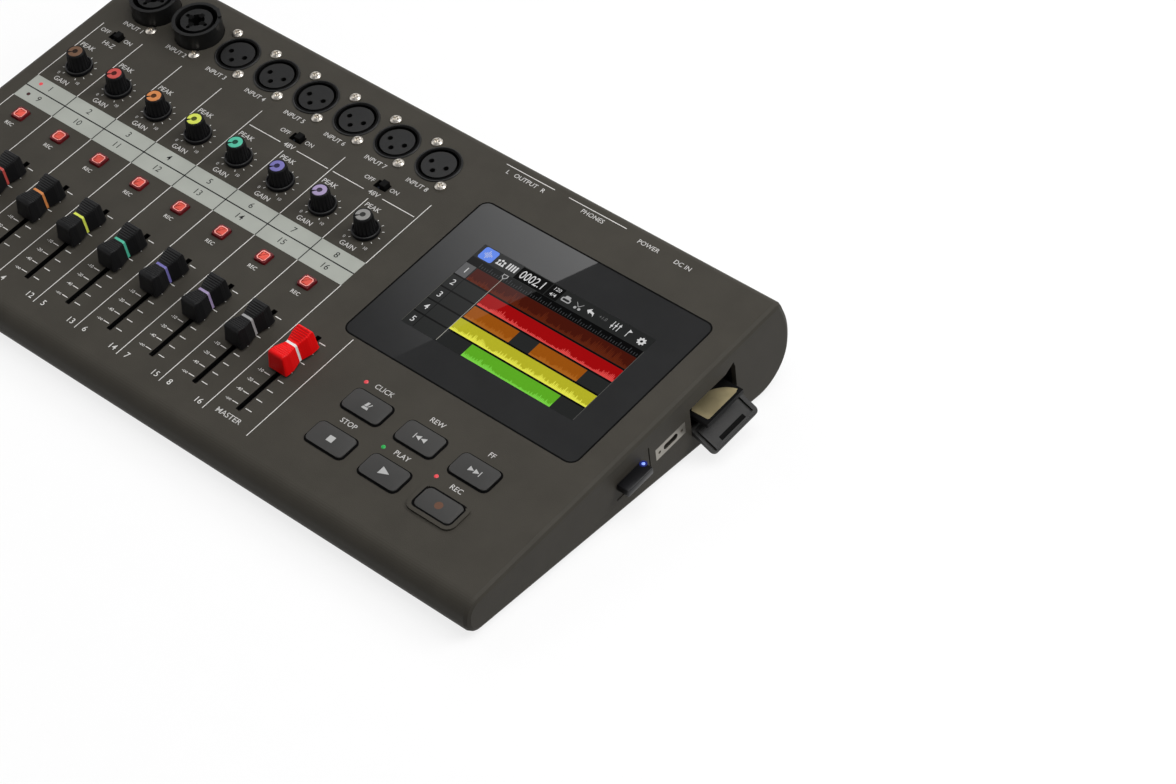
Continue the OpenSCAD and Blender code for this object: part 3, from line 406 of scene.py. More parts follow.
# Names of the keys and of the rear sockets.
KEY_NAME_X, KEY_NAME_V, KEY_NAME_SIZE = -0.3, 10.9, 3.6
KEY_AT = [(KEY_X + (k % 3 - 1) * KEY_PITCH_X, KEY_V + (k // 3 - 0.5) * KEY_PITCH_V) for k in range(6)]
for name, (x, v) in zip(("STOP", "PLAY", "REC", "CLICK", "REW", "FF"), KEY_AT):
    words(print_bm, name, x + KEY_NAME_X, v + KEY_NAME_V, KEY_NAME_SIZE)
REAR_SIZE, REAR_LINE_V = 3.35, 91.7
for name, x, v in (("L", 43.0, 88.2), ("OUTPUT", 53.2, 88.4), ("R", 63.2, 88.2), ("PHONES", 91.3, 88.8),
                   ("POWER", 122.6, 89.0), ("DC IN", 141.8, 88.6)):
    words(print_bm, name, x, v, REAR_SIZE)
for start, end in ((39.3, 67.3), (75.4, 108.2)):
    bar(print_bm, start, REAR_LINE_V - LINE / 2, end, REAR_LINE_V + LINE / 2, INK_W)

# A dark seam runs round the display window. Round each key a black ring is painted shade: it stands for the gap round
# the key and the shadow beside it.
black_and_shade_mat = material("black_seam_and_painted_shade", (0.002, 0.002, 0.002), 0.7, 0.1, 1500, spec=0.05)
ring(print_bm, round_rect(WINDOW_W + 1.2, WINDOW_D + 1.2, 4.8, WINDOW_AT),
     round_rect(WINDOW_W - 0.4, WINDOW_D - 0.4, 4.0, WINDOW_AT), INK_W, SEAM_AND_SHADE)
KEY_W, KEY_D, KEY_R = 20.6, 11.6, 2.2
# Painted shade: a black ring round each key for its gap and the shadow beside it.
for at in KEY_AT:
    ring(print_bm, round_rect(KEY_W + 1.8, KEY_D + 1.8, KEY_R + 0.9, at),
         round_rect(KEY_W + 0.2, KEY_D + 0.2, KEY_R + 0.1, at), INK_W, SEAM_AND_SHADE)
piece("panel_print", print_bm, [ink_mat, dim_ink_mat, band_mat, dark_ink_mat, black_and_shade_mat], ROOT)

# Display.
# A smoked acrylic window lies flush in the panel over a colour display module.
# The lit picture shows lanes of recorded sound, drawn here as flat shapes with their own tones.
SCREEN_LEFT, SCREEN_RIGHT = 63.9, 159.7
SCREEN_LOW, SCREEN_TOP = -4.8, 49.2
PICTURE_W = 0.03

window_mat = material("smoked_window", (0.0205, 0.0207, 0.021), 0.01, 0.06, 90)
paint(window_mat, "display_window")
paint(material("display_frame", (0.3, 0.31, 0.33), 0.4, 0.1, 700, 0.1, 0.6), "lcd_module")

# The black print under the window reaches a little further into its corners.
CORNER_POINTS = 7
corner_bm = bmesh.new()
tight, eased = (round_rect(WINDOW_W - 0.2, WINDOW_D - 0.2, r, WINDOW_AT) for r in (4.0, 6.8))
for start in range(0, len(tight), CORNER_POINTS):
    corner = slice(start, start + CORNER_POINTS)
    ring(corner_bm, tight[corner], eased[corner], BAND_W, 0, False)
piece("window_corners", corner_bm, [window_mat], ROOT)

screen_mat, tree, main, coords = shader("lit_picture")
tone_node = tree.nodes.new("ShaderNodeVertexColor")
tone_node.layer_name = "tone"
dots = noise(tree, coords, 2400, 1.0)
dot_mix = tree.nodes.new("ShaderNodeMix")
dot_mix.data_type = "RGBA"
dot_mix.blend_type = "MULTIPLY"
dot_mix.inputs["Factor"].default_value = 0.35
tree.links.new(tone_node.outputs["Color"], dot_mix.inputs["A"])
tree.links.new(ramp(tree, dots.outputs["Fac"], (0.7, 0.7, 0.7), (1, 1, 1)), dot_mix.inputs["B"])
tree.links.new(dot_mix.outputs["Result"], main.inputs["Emission Color"])
main.inputs["Emission Strength"].default_value = 0.9
main.inputs["Base Color"].default_value = (0.001, 0.001, 0.001, 1)
main.inputs["Specular IOR Level"].default_value = 0.15
main.inputs["Roughness"].default_value = 0.01

picture_bm = bmesh.new()
tones = picture_bm.loops.layers.float_color.new("tone")


def lit(points, tone, lift=0, mat=0):
    face = flat(picture_bm, points, PICTURE_W + 0.004 * lift, mat)
    for loop in face.loops:
        loop[tones] = (*tone, 1)


def lit_box(x0, v0, x1, v1, tone, lift=0, mat=0):
    lit([(x0, v0), (x1, v0), (x1, v1), (x0, v1)], tone, lift, mat)


def lit_words(text, x, v, size, tone, lift=2, wide=1.0):
    before = set(picture_bm.faces)
    words(picture_bm, text, x, v, size, PICTURE_W + 0.004 * lift, 0, wide)
    for face in set(picture_bm.faces) - before:
        for loop in face.loops:
            loop[tones] = (*tone, 1)


LANE_MID, LANE_PITCH, LANE_HALF = 32.7, 8.55, 3.75
LANE_LEFT, LANE_RIGHT = 70.6, 159.4
random.seed(7)


def lane(row, start, end, tone, wave, peaks):
    """A coloured block with the outline of its sound along the front edge."""
    top = LANE_MID - row * LANE_PITCH + LANE_HALF
    low = top - 2 * LANE_HALF
    lit_box(start, low, end, top, tone, 2)
    count = int((end - start) / 0.7)
    step = (end - start) / count
    swell = 0.6
    for k in range(count):
        swell = min(1, max(0.25, swell + random.uniform(-0.3, 0.3)))
        level = 0.5 + peaks * swell * random.uniform(0.35, 1)
        left = start + k * step
        lit([(left, low), (left + step, low), (left + step, low + 0.4 + 0.3 * level),
             (left + 0.6 * step, low + level), (left + 0.3 * step, low + level)], wave, 3)


PLAY_X = 83.6
WHITE = (0.72, 0.72, 0.72)
DIM = (0.42, 0.42, 0.42)
EMPTY, BLACK = (0.019, 0.020, 0.0195), (0.0, 0.0, 0.0)
BROWN, BROWN_WAVE = (0.064, 0.0048, 0.0002), (0.118, 0.016, 0.003)
RED, RED_WAVE = (0.38, 0.0, 0.001), (0.82, 0.075, 0.07)
ORANGE, ORANGE_WAVE = (0.35, 0.088, 0.002), (0.46, 0.14, 0.013)
YELLOW, YELLOW_WAVE = (0.52, 0.50, 0.02), (0.92, 0.92, 0.09)
GREEN, GREEN_WAVE = (0.12, 0.455, 0.017), (0.22, 0.74, 0.07)
lit_box(SCREEN_LEFT, SCREEN_LOW, SCREEN_RIGHT, SCREEN_TOP, BLACK)
lit_box(SCREEN_LEFT + 0.1, 41.0, SCREEN_RIGHT, SCREEN_TOP, EMPTY, 1)
for k in range(64):
    x = LANE_LEFT + k * (LANE_RIGHT - LANE_LEFT) / 64
    lit_box(x, 37.2, x + 0.35, 38.6 if k % 4 else 39.8, (0.045, 0.048, 0.052), 2)
for row in range(5):
    mid = LANE_MID - row * LANE_PITCH
    low, high = mid - LANE_HALF - 0.1, mid + LANE_HALF + 0.1
    lit_box(LANE_LEFT - 0.3, low, LANE_RIGHT, high, EMPTY, 1)
    lit_box(SCREEN_LEFT + 0.2, low, LANE_LEFT - 0.6, high, (0.115, 0.115, 0.118) if row == 0 else EMPTY, 1)
    lit_words(str(row + 1), SCREEN_LEFT + 3.5, mid, 4.6, WHITE)
lit_box(SCREEN_LEFT - 0.1, SCREEN_LOW, SCREEN_LEFT + 0.1, 28.2, (0.10, 0.10, 0.085), 1)
lane(0, LANE_LEFT, LANE_RIGHT, BROWN, BROWN_WAVE, 6.4)
lane(1, PLAY_X + 0.6, LANE_RIGHT, RED, RED_WAVE, 3.6)
lane(2, PLAY_X + 0.6, 109.6, ORANGE, ORANGE_WAVE, 3.2)
lane(2, 120.7, 147.0, ORANGE, ORANGE_WAVE, 3.2)
lane(3, PLAY_X + 0.1, LANE_RIGHT, YELLOW, YELLOW_WAVE, 3.8)
lane(4, 97.9, 147.0, GREEN, GREEN_WAVE, 3.2)
lit_box(PLAY_X - 0.12, SCREEN_LOW, PLAY_X + 0.12, 38.2, (0.46, 0.45, 0.40), 4)
lit([(82.2, 40.8), (85.0, 40.8), (85.0, 39.2), (83.6, 37.8), (82.2, 39.2)], DIM, 4)
lit([(82.6, 40.4), (84.6, 40.4), (84.6, 39.4), (83.6, 38.4), (82.6, 39.4)], EMPTY, 5)
lit_box(SCREEN_RIGHT - 0.2, SCREEN_LOW, SCREEN_RIGHT, 41.0, (0.13, 0.13, 0.12), 4)

# Signs along the rear edge of the picture.
lit(round_rect(7.6, 7.2, 1.2, (69.4, 45.2)), (0.13, 0.27, 0.92), 2)
for k, reach in enumerate((0.5, 1.1, 2.4, 1.6, 0.9, 0.4)):
    lit_box(67.3 + 0.75 * k, 45.2 - reach, 67.55 + 0.75 * k, 45.2 + reach, WHITE, 3)
for k in range(3):
    lit(round_rect(1.2, 1.2, 0.55, (75.4 + 1.5 * k, 45.6 + 0.6 * (k % 2))), WHITE, 2)
    lit([(74.6 + 1.5 * k, 43.2), (76.2 + 1.5 * k, 43.2), (75.4 + 1.5 * k, 45.2)], WHITE, 2)
for k in range(4):
    lit_box(80.4 + 1.4 * k, 43.4, 81.2 + 1.4 * k, 47.0, WHITE, 2)
lit_box(86.6, 41.2, 103.4, 48.8, BLACK, 2, 1)
lit_words("0002.1", 94.9, 44.8, 6.8, WHITE, 3, 0.74)
lit_box(103.9, 41.2, 110.6, 48.8, BLACK, 2, 1)
lit_words("120", 107.2, 46.9, 2.7, WHITE, 3)
lit_words("4/4", 107.2, 43.5, 2.7, WHITE, 3)
lit(round_rect(4.8, 2.4, 0.9, (113.9, 44.4)), DIM, 2)
lit(round_rect(2.8, 1.6, 0.7, (113.9, 46.0)), DIM, 2)
lit(round_rect(3.6, 1.2, 0.5, (113.9, 44.4)), EMPTY, 3)
for k in (-1, 1):
    lit([(120.5, 44.4), (120.9, 44.4), (120.6 + 1.9 * k, 46.6), (120.3 + 1.9 * k, 46.6)], DIM, 2)
    lit(round_rect(1.4, 1.4, 0.65, (120.7 + 1.1 * k, 43.5)), DIM, 2)
lit([(124.9, 45.4), (126.7, 47.2), (126.7, 46.0), (128.6, 45.6), (129.2, 43.4), (128.2, 44.6), (126.7, 44.9),
     (126.7, 43.8)], WHITE, 2)
lit_words("+1.0", 133.5, 45.6, 2.4, (0.16, 0.16, 0.16))
for k in range(3):
    lit_box(139.0 + 1.7 * k, 43.0, 139.35 + 1.7 * k, 47.4, WHITE, 2)
    lit_box(138.6 + 1.7 * k, 44.2 + 0.9 * k, 139.75 + 1.7 * k, 44.9 + 0.9 * k, WHITE, 2)
lit_box(147.2, 43.0, 147.55, 47.4, WHITE, 2)
lit([(147.2, 47.4), (149.0, 46.5), (147.2, 45.6)], WHITE, 2)
for reach in (2.2, 0.8):
    gear = [(155.1 + reach * (1 if k % 4 < 2 else 0.75) * math.cos(math.radians(11.25 * k)),
             44.9 + reach * (1 if k % 4 < 2 else 0.75) * math.sin(math.radians(11.25 * k))) for k in range(32)]
    lit(gear, WHITE if reach > 1 else BLACK, 2 if reach > 1 else 3)
piece("screen_picture", picture_bm, [screen_mat, black_and_shade_mat], ROOT)

# Input sockets.
# Moulded nylon sockets are held from behind the panel by two nickel pan-head screws each.
# Channels 1 and 2 have raised collars that also take a phone plug.
socket_mat = material("socket_nylon", (0.009, 0.009, 0.009), 0.36, 0.12, 1500, 0.1, spec=0.3)
nickel_mat = material("nickel", (0.66, 0.62, 0.56), 0.3, 0.06, 700, 0.06, 1.0)
paint(socket_mat, "xlr_jacks", "combo_jacks")
paint(nickel_mat, "jack_screws")


def turned(bm, profile, at, sides, tint):
    """A profile spun about an upright axis. tint picks a face's material from its row and its angle."""
    for row in range(len(profile) - 1):
        ends = [bm.verts.new((at[0] + radius, at[1], w)) for radius, w in profile[row:row + 2]]
        done = len(bm.faces)
        bmesh.ops.spin(bm, geom=[*ends, bm.edges.new(ends)], cent=(*at, 0), axis=(0, 0, 1), angle=2 * math.pi,
                       steps=sides, use_merge=True)
        for face in list(bm.faces)[done:]:
            way = face.calc_center_median()
            face.material_index = tint(row, math.degrees(math.atan2(way.y - at[1], way.x - at[0])) % 360)


# A raised lip runs round each plain socket. The step inside it is drawn near black, painted shade for the groove
# there.
LIP_PROFILE = [(11.0, 0.02), (10.95, 0.3), (10.7, 0.5), (10.35, 0.52), (10.15, 0.4), (10.05, 0.33), (9.2, 0.33)]
# Painted shade: a near-black flat tone that stands for the shade in grooves, slots and recesses.
shade_mat = material("slot_shade", (0.0025, 0.0025, 0.0025), 0.6, 0.1, 1500, spec=0.05)
lip_bm = bmesh.new()
for k in range(6):
    turned(lip_bm, LIP_PROFILE, (JACK_8 - JACK_PITCH * k, JACK_V), 64, lambda row, degrees: row // 4)
piece("socket_lips", lip_bm, [socket_mat, shade_mat], ROOT)

# The bore of a raised socket runs out into four slots on its face. They are drawn as flat black shapes, painted shade
# for the holes.
COMBO_XS, COMBO_FACE = (JACK_8 - 7 * JACK_PITCH - 3.4, JACK_8 - 6 * JACK_PITCH), 8.4
COMBO_SLOT, COMBO_SLOT_R, COMBO_REACH = 2.5, 0.6, 3.6
slot_shade_bm = bmesh.new()
for x in COMBO_XS:
    for along, out in ((0, 1), (0, -1), (1, 0), (-1, 0)):
        middle = (x + COMBO_REACH * along, JACK_V + COMBO_REACH * out)
        flat(slot_shade_bm, round_rect(COMBO_SLOT, COMBO_SLOT, COMBO_SLOT_R, middle, 3), COMBO_FACE + INK_W)
piece("combo_slot_shade", slot_shade_bm, [shade_mat], ROOT)

# Circuit boards and the parts on them.
# Green fibreglass boards hang under the panel and lie on the floor of the case.
# They carry the fader frames, pots and switches, all out of sight when the case is closed.
paint(material("solder_mask", (0.02, 0.12, 0.05), 0.35, 0.25, 400, 0.1), "control_board", "main_board")
paint(material("fader_frame_steel", (0.5, 0.5, 0.48), 0.35, 0.1, 600, 0.1, 1.0), "fader_bodies")
paint(material("control_part_case", (0.05, 0.06, 0.09), 0.5, 0.15, 900, 0.1),
      "rotary_pots", "switch_bodies", "tact_switches")

# Gain knobs.
# Soft black knobs press on to the pot shafts. A painted ring on top has a gap for its pointer.
# The skirt is wider than the grip, and fine flutes run up the grip.
LANE_TONES = [(0.165, 0.082, 0.042), (0.56, 0.075, 0.062), (0.70, 0.25, 0.07), (0.72, 0.80, 0.10),
              (0.08, 0.52, 0.35), (0.18, 0.16, 0.45), (0.38, 0.30, 0.50), (0.27, 0.265, 0.255)]
knob_mat = material("knob_black", (0.005, 0.005, 0.0055), 0.5, 0.1, 1800, 0.15, spec=0.14)
lane_mats = [material(f"lane_ink_{i + 1}", tone, 0.42, 0.05, 1500) for i, tone in enumerate(LANE_TONES)]
# Painted highlight: the skirt's rim is drawn lighter than the knob, and it is also glossier.
rim_highlight_mat = material("knob_rim_highlight", (0.016, 0.016, 0.0165), 0.35, 0.1, 1800, 0.1, spec=0.35)
heart_mats = [material(f"knob_heart_{i + 1}", tuple(0.12 * c for c in tone), 0.5, 0.08, 1500, spec=0.2)
              for i, tone in enumerate(LANE_TONES)]
KNOB_PROFILE = [(6.5, 0.5), (6.5, 1.9), (6.4, 2.15), (6.1, 2.25), (5.85, 2.1), (5.7, 1.3), (5.1, 1.2),
                (4.95, 1.5), (4.4, 9.6), (4.25, 10.1), (3.95, 10.36), (3.4, 10.4), (3.25, 10.55), (1.35, 10.55),
                (1.2, 10.3), (0.0, 10.3)]
GRIP_ENDS = (1.5, 9.6)
RING_ROWS = (11, 12)
HEART_ROWS = (13, 14)
RIM_HIGHLIGHT_ROWS = (1, 2, 3)
KNOB_SIDES = 72
FLUTES, FLUTE_DEPTH = 18, 0.25
POINTER, POINTER_HALF = 226, 10
STUB_R, STUB_LOW = 3.0, -9.8


def flute(bm, at):
    """Press the flutes into a grip: draw its two end rings in where a flute runs."""
    for vert in bm.verts:
        if min(abs(vert.co.z - w) for w in GRIP_ENDS) < 1e-4:
            out = vert.co.xy - Vector(at)
            inwards = FLUTE_DEPTH * max(0, math.cos(FLUTES * math.atan2(out.y, out.x)))
            vert.co.xy -= out.normalized() * inwards


def ring_tint(row, degrees):
    if row in HEART_ROWS:
        return 2
    if row in RIM_HIGHLIGHT_ROWS:
        return 3
    return 1 if row in RING_ROWS and abs(degrees - POINTER) > POINTER_HALF else 0


def prism(bm, points, low, high, mat=0):
    """An upright prism on a closed outline of (x, v) points. Returns its faces, the top one first."""
    rings = [[bm.verts.new((x, v, w)) for x, v in points] for w in (low, high)]
    made = [bm.faces.new(rings[1]), bm.faces.new(rings[0][::-1])]
    for k in range(len(points)):
        n = (k + 1) % len(points)
        made.append(bm.faces.new((rings[0][k], rings[0][n], rings[1][n], rings[1][k])))
    for face in made:
        face.material_index = mat
    return made


for i in range(1, 9):
    knob_bm = bmesh.new()
    at = (strip_x(i), KNOB_V)
    turned(knob_bm, KNOB_PROFILE, at, KNOB_SIDES, ring_tint)
    flute(knob_bm, at)
    stub = [(at[0] + STUB_R * math.cos(t * math.pi / 12), at[1] + STUB_R * math.sin(t * math.pi / 12))
            for t in range(24)]
    prism(knob_bm, stub, STUB_LOW, KNOB_PROFILE[0][1])
    piece(f"knob_{i}", knob_bm, [knob_mat, lane_mats[i - 1], heart_mats[i - 1], rim_highlight_mat], f"gain_knob_{i}",
          stands_for=[f"gain_knob_{i}"])

# Record arm keys.
# Translucent silicone keys, lit red from below, stand just proud of the panel.
# A paler frame is moulded inside the edge of each.
arm_edge_mat = material("arm_edge", (0.11, 0.004, 0.007), 0.35, 0.1, 900, glow=0.15)
arm_frame_mat = material("arm_frame", (0.92, 0.35, 0.31), 0.35, 0.06, 900, glow=0.2)
arm_heart_mat = material("arm_heart", (0.64, 0.075, 0.05), 0.4, 0.25, 2600, glow=0.2)
ARM_V, ARM_SIDE, ARM_R, ARM_H = -12.8, 6.6, 0.8, 1.2
ARM_BORDER, ARM_FRAME, ARM_STEP = 0.95, 0.6, 0.1
KEY_LIP, KEY_LIP_LOW, KEY_LIP_TOP = 1.2, -4.2, -2.7
KEY_STEM, KEY_STEM_LOW = 3.4, -7.2
KEY_EDGE = 0.4


def soften(bm, faces, size, segments=3):
    """Round the edges that bound these faces."""
    edges = list(dict.fromkeys(edge for face in faces for edge in face.edges))
    bmesh.ops.bevel(bm, geom=edges, offset=size, offset_type="OFFSET", segments=segments,
                    profile=0.5, affect="EDGES", material=-1, clamp_overlap=True)


def key_block(bm, width, depth, radius, at, high, edge, side=0):
    """A key cap with its lip and stem under the panel. side tints all below the rounded rim. Returns the top face."""
    prism(bm, round_rect(width + 2 * KEY_LIP, depth + 2 * KEY_LIP, radius, at), KEY_LIP_LOW, KEY_LIP_TOP)
    prism(bm, round_rect(KEY_STEM, KEY_STEM, KEY_STEM / 2 - 0.02, at, 4), KEY_STEM_LOW, KEY_LIP_LOW + 0.01)
    cap = prism(bm, round_rect(width, depth, radius, at), KEY_LIP_TOP - 0.01, high)
    soften(bm, cap[:1], edge)
    for face in bm.faces:
        if face.calc_center_median().z < high - edge:
            face.material_index = side
    tops = [f for f in bm.faces if abs(f.calc_center_median().z - high) < 1e-4]
    return max(tops, key=lambda f: f.calc_area())


for i in range(1, 9):
    arm_bm = bmesh.new()
    top = key_block(arm_bm, ARM_SIDE, ARM_SIDE, ARM_R, (strip_x(i), ARM_V), ARM_H, KEY_EDGE)
    bmesh.ops.inset_individual(arm_bm, faces=[top], thickness=ARM_BORDER, depth=ARM_STEP)
    frame_ring = bmesh.ops.inset_individual(arm_bm, faces=[top], thickness=ARM_FRAME, depth=-ARM_STEP)["faces"]
    for face in frame_ring:
        face.material_index = 1
    top.material_index = 2
    piece(f"arm_{i}", arm_bm, [arm_edge_mat, arm_frame_mat, arm_heart_mat], f"arm_key_{i}",
          stands_for=[f"arm_key_{i}"])

# Faders.
# Each cap is a waisted two-lobed moulding pressed on to the lever of its slide pot.
# A painted line crosses the valley, and the rear lobe is ribbed for the fingertip.
CAP_LOW, CAP_HIGH, CAP_VALLEY = 1.3, 11.6, 9.9
CAP_DRAFT = 1.2
LINE_HALF = 0.62
CAP_ENDS = [(10.3, CAP_LOW), (10.12, 4.0), (9.72, 10.1), (9.6, 10.7), (9.3, 11.2), (8.9, 11.5), (8.4, CAP_HIGH)]
cap_mat = material("cap_black", (0.007, 0.007, 0.0075), 0.45, 0.1, 1600, 0.12, spec=0.18)
red_cap_mat = material("cap_red", (0.86, 0.003, 0.004), 0.38, 0.06, 1600, 0.1, spec=0.2)
# Painted light on the ribs: the crests of the black caps are drawn lighter, a painted highlight, and those of the red
# cap darker, painted shade.
rib_crest_highlight_mat = material("cap_rib_crest_highlight", (0.021, 0.021, 0.0215), 0.45, 0.1, 1600, 0.12, spec=0.2)
red_rib_crest_shade_mat = material("cap_red_rib_crest_shade", (0.50, 0.002, 0.003), 0.42, 0.06, 1600, 0.1, spec=0.15)
white_line_mat = material("line_white", (0.85, 0.83, 0.8), 0.5, 0.04, 1500)
grey_line_mat = material("line_grey", (0.36, 0.36, 0.36), 0.5, 0.04, 1500)
CREST = CAP_ENDS[-1][0]
CAP_EDGE, WAIST_HALF = 0.7, 3.9
LOBE_AT, LOBE_HALF, CORNER_AT, CORNER_EASE = 5.6, 5.3, 9.2, 0.3
RIBS, RIB_START, RIB_PITCH, RIB_GROOVE, RIB_WALL = 6, 1.5, 1.1, 0.55, 0.1
RIB_DEPTHS = (0.14, 0.28)
CAP_COLUMNS, CAP_TOP_COLUMN = 10, 4
LEVER_W, LEVER_L, LEVER_LOW = 1.2, 4.4, -9.0


def cap_slope(a):
    return CAP_VALLEY + (CAP_HIGH - CAP_VALLEY) * (a - LINE_HALF) / (CREST - LINE_HALF)


def cap_stations():
    """Places along a cap with the height of its top there."""
    lobes = []
    for depth in RIB_DEPTHS:
        lobe = [(LINE_HALF, CAP_VALLEY)]
        for k in range(RIBS):
            a = RIB_START + RIB_PITCH * k
            b = a + RIB_GROOVE
            lobe += [(a, cap_slope(a)), (a + RIB_WALL, cap_slope(a) - depth),
                     (b - RIB_WALL, cap_slope(b - RIB_WALL) - depth), (b, cap_slope(b))]
        lobes.append(lobe + [(a, w) for a, w in reversed(CAP_ENDS)])
    return [(-a, w) for a, w in reversed(lobes[0])] + lobes[1]


def cap_half(v):
    """Half the width of a cap at its foot: a waist, two lobes and eased corners."""
    a = abs(v)
    if a <= LINE_HALF:
        return WAIST_HALF
    if a < LOBE_AT:
        return WAIST_HALF + (LOBE_HALF - WAIST_HALF) * (a - LINE_HALF) / (LOBE_AT - LINE_HALF)
    return LOBE_HALF - max(0, a - CORNER_AT) * CORNER_EASE


def cap_ring(v, top):
    half = cap_half(v)
    r = min(CAP_EDGE, (top - CAP_LOW) * 0.4)
    lean = CAP_DRAFT / (CAP_HIGH - CAP_LOW)
    shoulder = half - lean * (top - r - CAP_LOW)
    side = [(half, CAP_LOW), (shoulder, top - r)]
    side += [(shoulder - r * (1 - math.cos(t)), top - r + r * math.sin(t)) for t in (0.52, 1.05, 1.5708)]
    return [(x, v, w) for x, w in side] + [(-x, v, w) for x, w in reversed(side)]


def cap_block(bm, at):
    """A cap from a grid that is wrapped round it, one row of faces from station to station, and its lever."""
    stations = cap_stations()
    bmesh.ops.create_grid(bm, x_segments=CAP_COLUMNS, y_segments=len(stations) - 1, size=1)
    for index, vert in enumerate(bm.verts):
        row, column = divmod(index, CAP_COLUMNS + 1)
        x, v, w = cap_ring(*stations[row])[column % CAP_COLUMNS]
        vert.co = (at[0] + x, at[1] + v, w)
    for index, face in enumerate(bm.faces):
        row, column = divmod(index, CAP_COLUMNS)
        front, rear = stations[row][0], stations[row + 1][0]
        along = (front + rear) / 2 - RIB_START
        if max(abs(front), abs(rear)) < LINE_HALF + 0.01 and column < CAP_COLUMNS - 1:
            face.material_index = 1
        # The rib crests take the painted highlight or painted shade.
        elif column == CAP_TOP_COLUMN and 0 < along < RIBS * RIB_PITCH and along % RIB_PITCH > RIB_GROOVE:
            face.material_index = 2
    half, reach = LEVER_W / 2, LEVER_L / 2
    prism(bm, [(at[0] + x, at[1] + v) for x, v in ((-half, -reach), (half, -reach), (half, reach), (-half, reach))],
          LEVER_LOW, CAP_LOW)


WELL_LOW = -2.4


def well(bm, width, depth, at):
    """A black liner in a slot of the panel, with a narrow lip: painted shade for the slot and its edge."""
    mouth_line = round_rect(width - 0.1, depth - 0.1, 0.3, at, 2)
    lip = outline(bm, round_rect(width + 0.4, depth + 0.4, 0.4, at, 2), INK_W)
    mouth = outline(bm, mouth_line, INK_W)
    foot = outline(bm, mouth_line, WELL_LOW)
    bmesh.ops.bridge_loops(bm, edges=lip + mouth)
    bmesh.ops.bridge_loops(bm, edges=mouth + foot)


FADER_V, SLOT_W, SLOT_L = -57.5, 2.2, 50.0
# Painted shade: a black liner in each fader slot.
fader_well_bm = bmesh.new()
for i in range(1, 10):
    well(fader_well_bm, SLOT_W, SLOT_L, (strip_x(i), FADER_V))
piece("fader_wells", fader_well_bm, [shade_mat], ROOT)

for i in range(1, 10):
    label = "master" if i == 9 else str(i)
    cap_bm = bmesh.new()
    cap_block(cap_bm, (strip_x(i), UNITY_V))
    if i == 9:
        cap_mats = [red_cap_mat, white_line_mat, red_rib_crest_shade_mat]
    else:
        cap_mats = [cap_mat, grey_line_mat if i == 8 else lane_mats[i - 1], rib_crest_highlight_mat]
    piece(f"cap_{label}", cap_bm, cap_mats, f"fader_{label}",
          stands_for=[f"fader_{label}"], sharp=math.radians(28))

# Transport keys.
# Six silicone-coated keys in two rows, each with a printed sign. The record key has a guard ridge.
# They press tact switches on the control board.
KEY_ORDER = ("stop", "play", "record", "click", "rewind", "forward")
KEY_H = 1.0
key_mat = material("key_silicone", (0.047, 0.046, 0.044), 0.55, 0.06, 2200, 0.15, spec=0.3)
# The sides below the rounded rim are drawn near black, much darker than the tops.
key_side_mat = material("key_skirt", (0.006, 0.006, 0.006), 0.6, 0.1, 1800, spec=0.2)
sign_mat = material("key_sign", (0.50, 0.50, 0.49), 0.55, 0.05, 1500)
record_sign_mat = material("record_sign", (0.11, 0.045, 0.022), 0.5, 0.1, 1500)


def arrow(at, size, way=1):
    return [(at[0] - way * size * 0.5, at[1] - size * 0.55), (at[0] + way * size * 0.6, at[1]),
            (at[0] - way * size * 0.5, at[1] + size * 0.55)]


KEY_SIGNS = {
    "stop": [[(-1.6, -1.6), (1.6, -1.6), (1.6, 1.6), (-1.6, 1.6)]],
    "play": [[(-2.1, -2.1), (2.7, 0), (-2.1, 2.1)]],
    "record": [[(1.9 * math.cos(math.radians(15 * k)), 1.9 * math.sin(math.radians(15 * k))) for k in range(24)]],
    "click": [[(-1.7, -1.9), (1.7, -1.9), (1.4, -0.7), (-1.4, -0.7)],
              [(-1.35, -0.4), (0.1, -0.4), (0.6, 1.9), (-0.7, 1.9)],
              [(0.5, -0.4), (0.9, -0.4), (2.1, 1.4), (1.7, 1.7)]],
    "rewind": [arrow((-1.0, 0), 2.4, -1), arrow((1.9, 0), 2.4, -1),
               [(-3.1, -1.4), (-2.7, -1.4), (-2.7, 1.4), (-3.1, 1.4)]],
    "forward": [arrow((-1.9, 0), 2.4), arrow((1.0, 0), 2.4),
                [(2.7, -1.4), (3.1, -1.4), (3.1, 1.4), (2.7, 1.4)]],
}
GUARD_H, RECORD_TRIM = 1.0, 0.8
for name, at in zip(KEY_ORDER, KEY_AT):
    key_bm = bmesh.new()
    trim = RECORD_TRIM if name == "record" else 0
    key_block(key_bm, KEY_W - trim, KEY_D - trim, KEY_R, at, KEY_H, KEY_EDGE, 2)
    for shape in KEY_SIGNS[name]:
        flat(key_bm, [(at[0] + x, at[1] + v) for x, v in shape], KEY_H + INK_W, 1)
    key_mats = [key_mat, record_sign_mat if name == "record" else sign_mat, key_side_mat]
    piece(f"{name}_cap", key_bm, key_mats, f"{name}_key", stands_for=[f"{name}_key"])

# Painted shade: a black band lies on the guard, on three sides of the record key, for the gap round the key and the
# shadow beside it.
guard_shade_bm = bmesh.new()
record_at = KEY_AT[KEY_ORDER.index("record")]
outer, inner = (round_rect(KEY_W + d, KEY_D + d, KEY_R + d / 2, record_at) for d in (1.0, 0.2 - RECORD_TRIM))
order = (*range(CORNER_POINTS, len(outer)), *range(CORNER_POINTS))
kept = [k for k in order if outer[k][1] < record_at[1] + KEY_D / 2 - 0.3]
ring(guard_shade_bm, [outer[k] for k in kept], [inner[k] for k in kept], GUARD_H + INK_W, 0, False)
piece("record_guard_shade", guard_shade_bm, [black_and_shade_mat], ROOT)

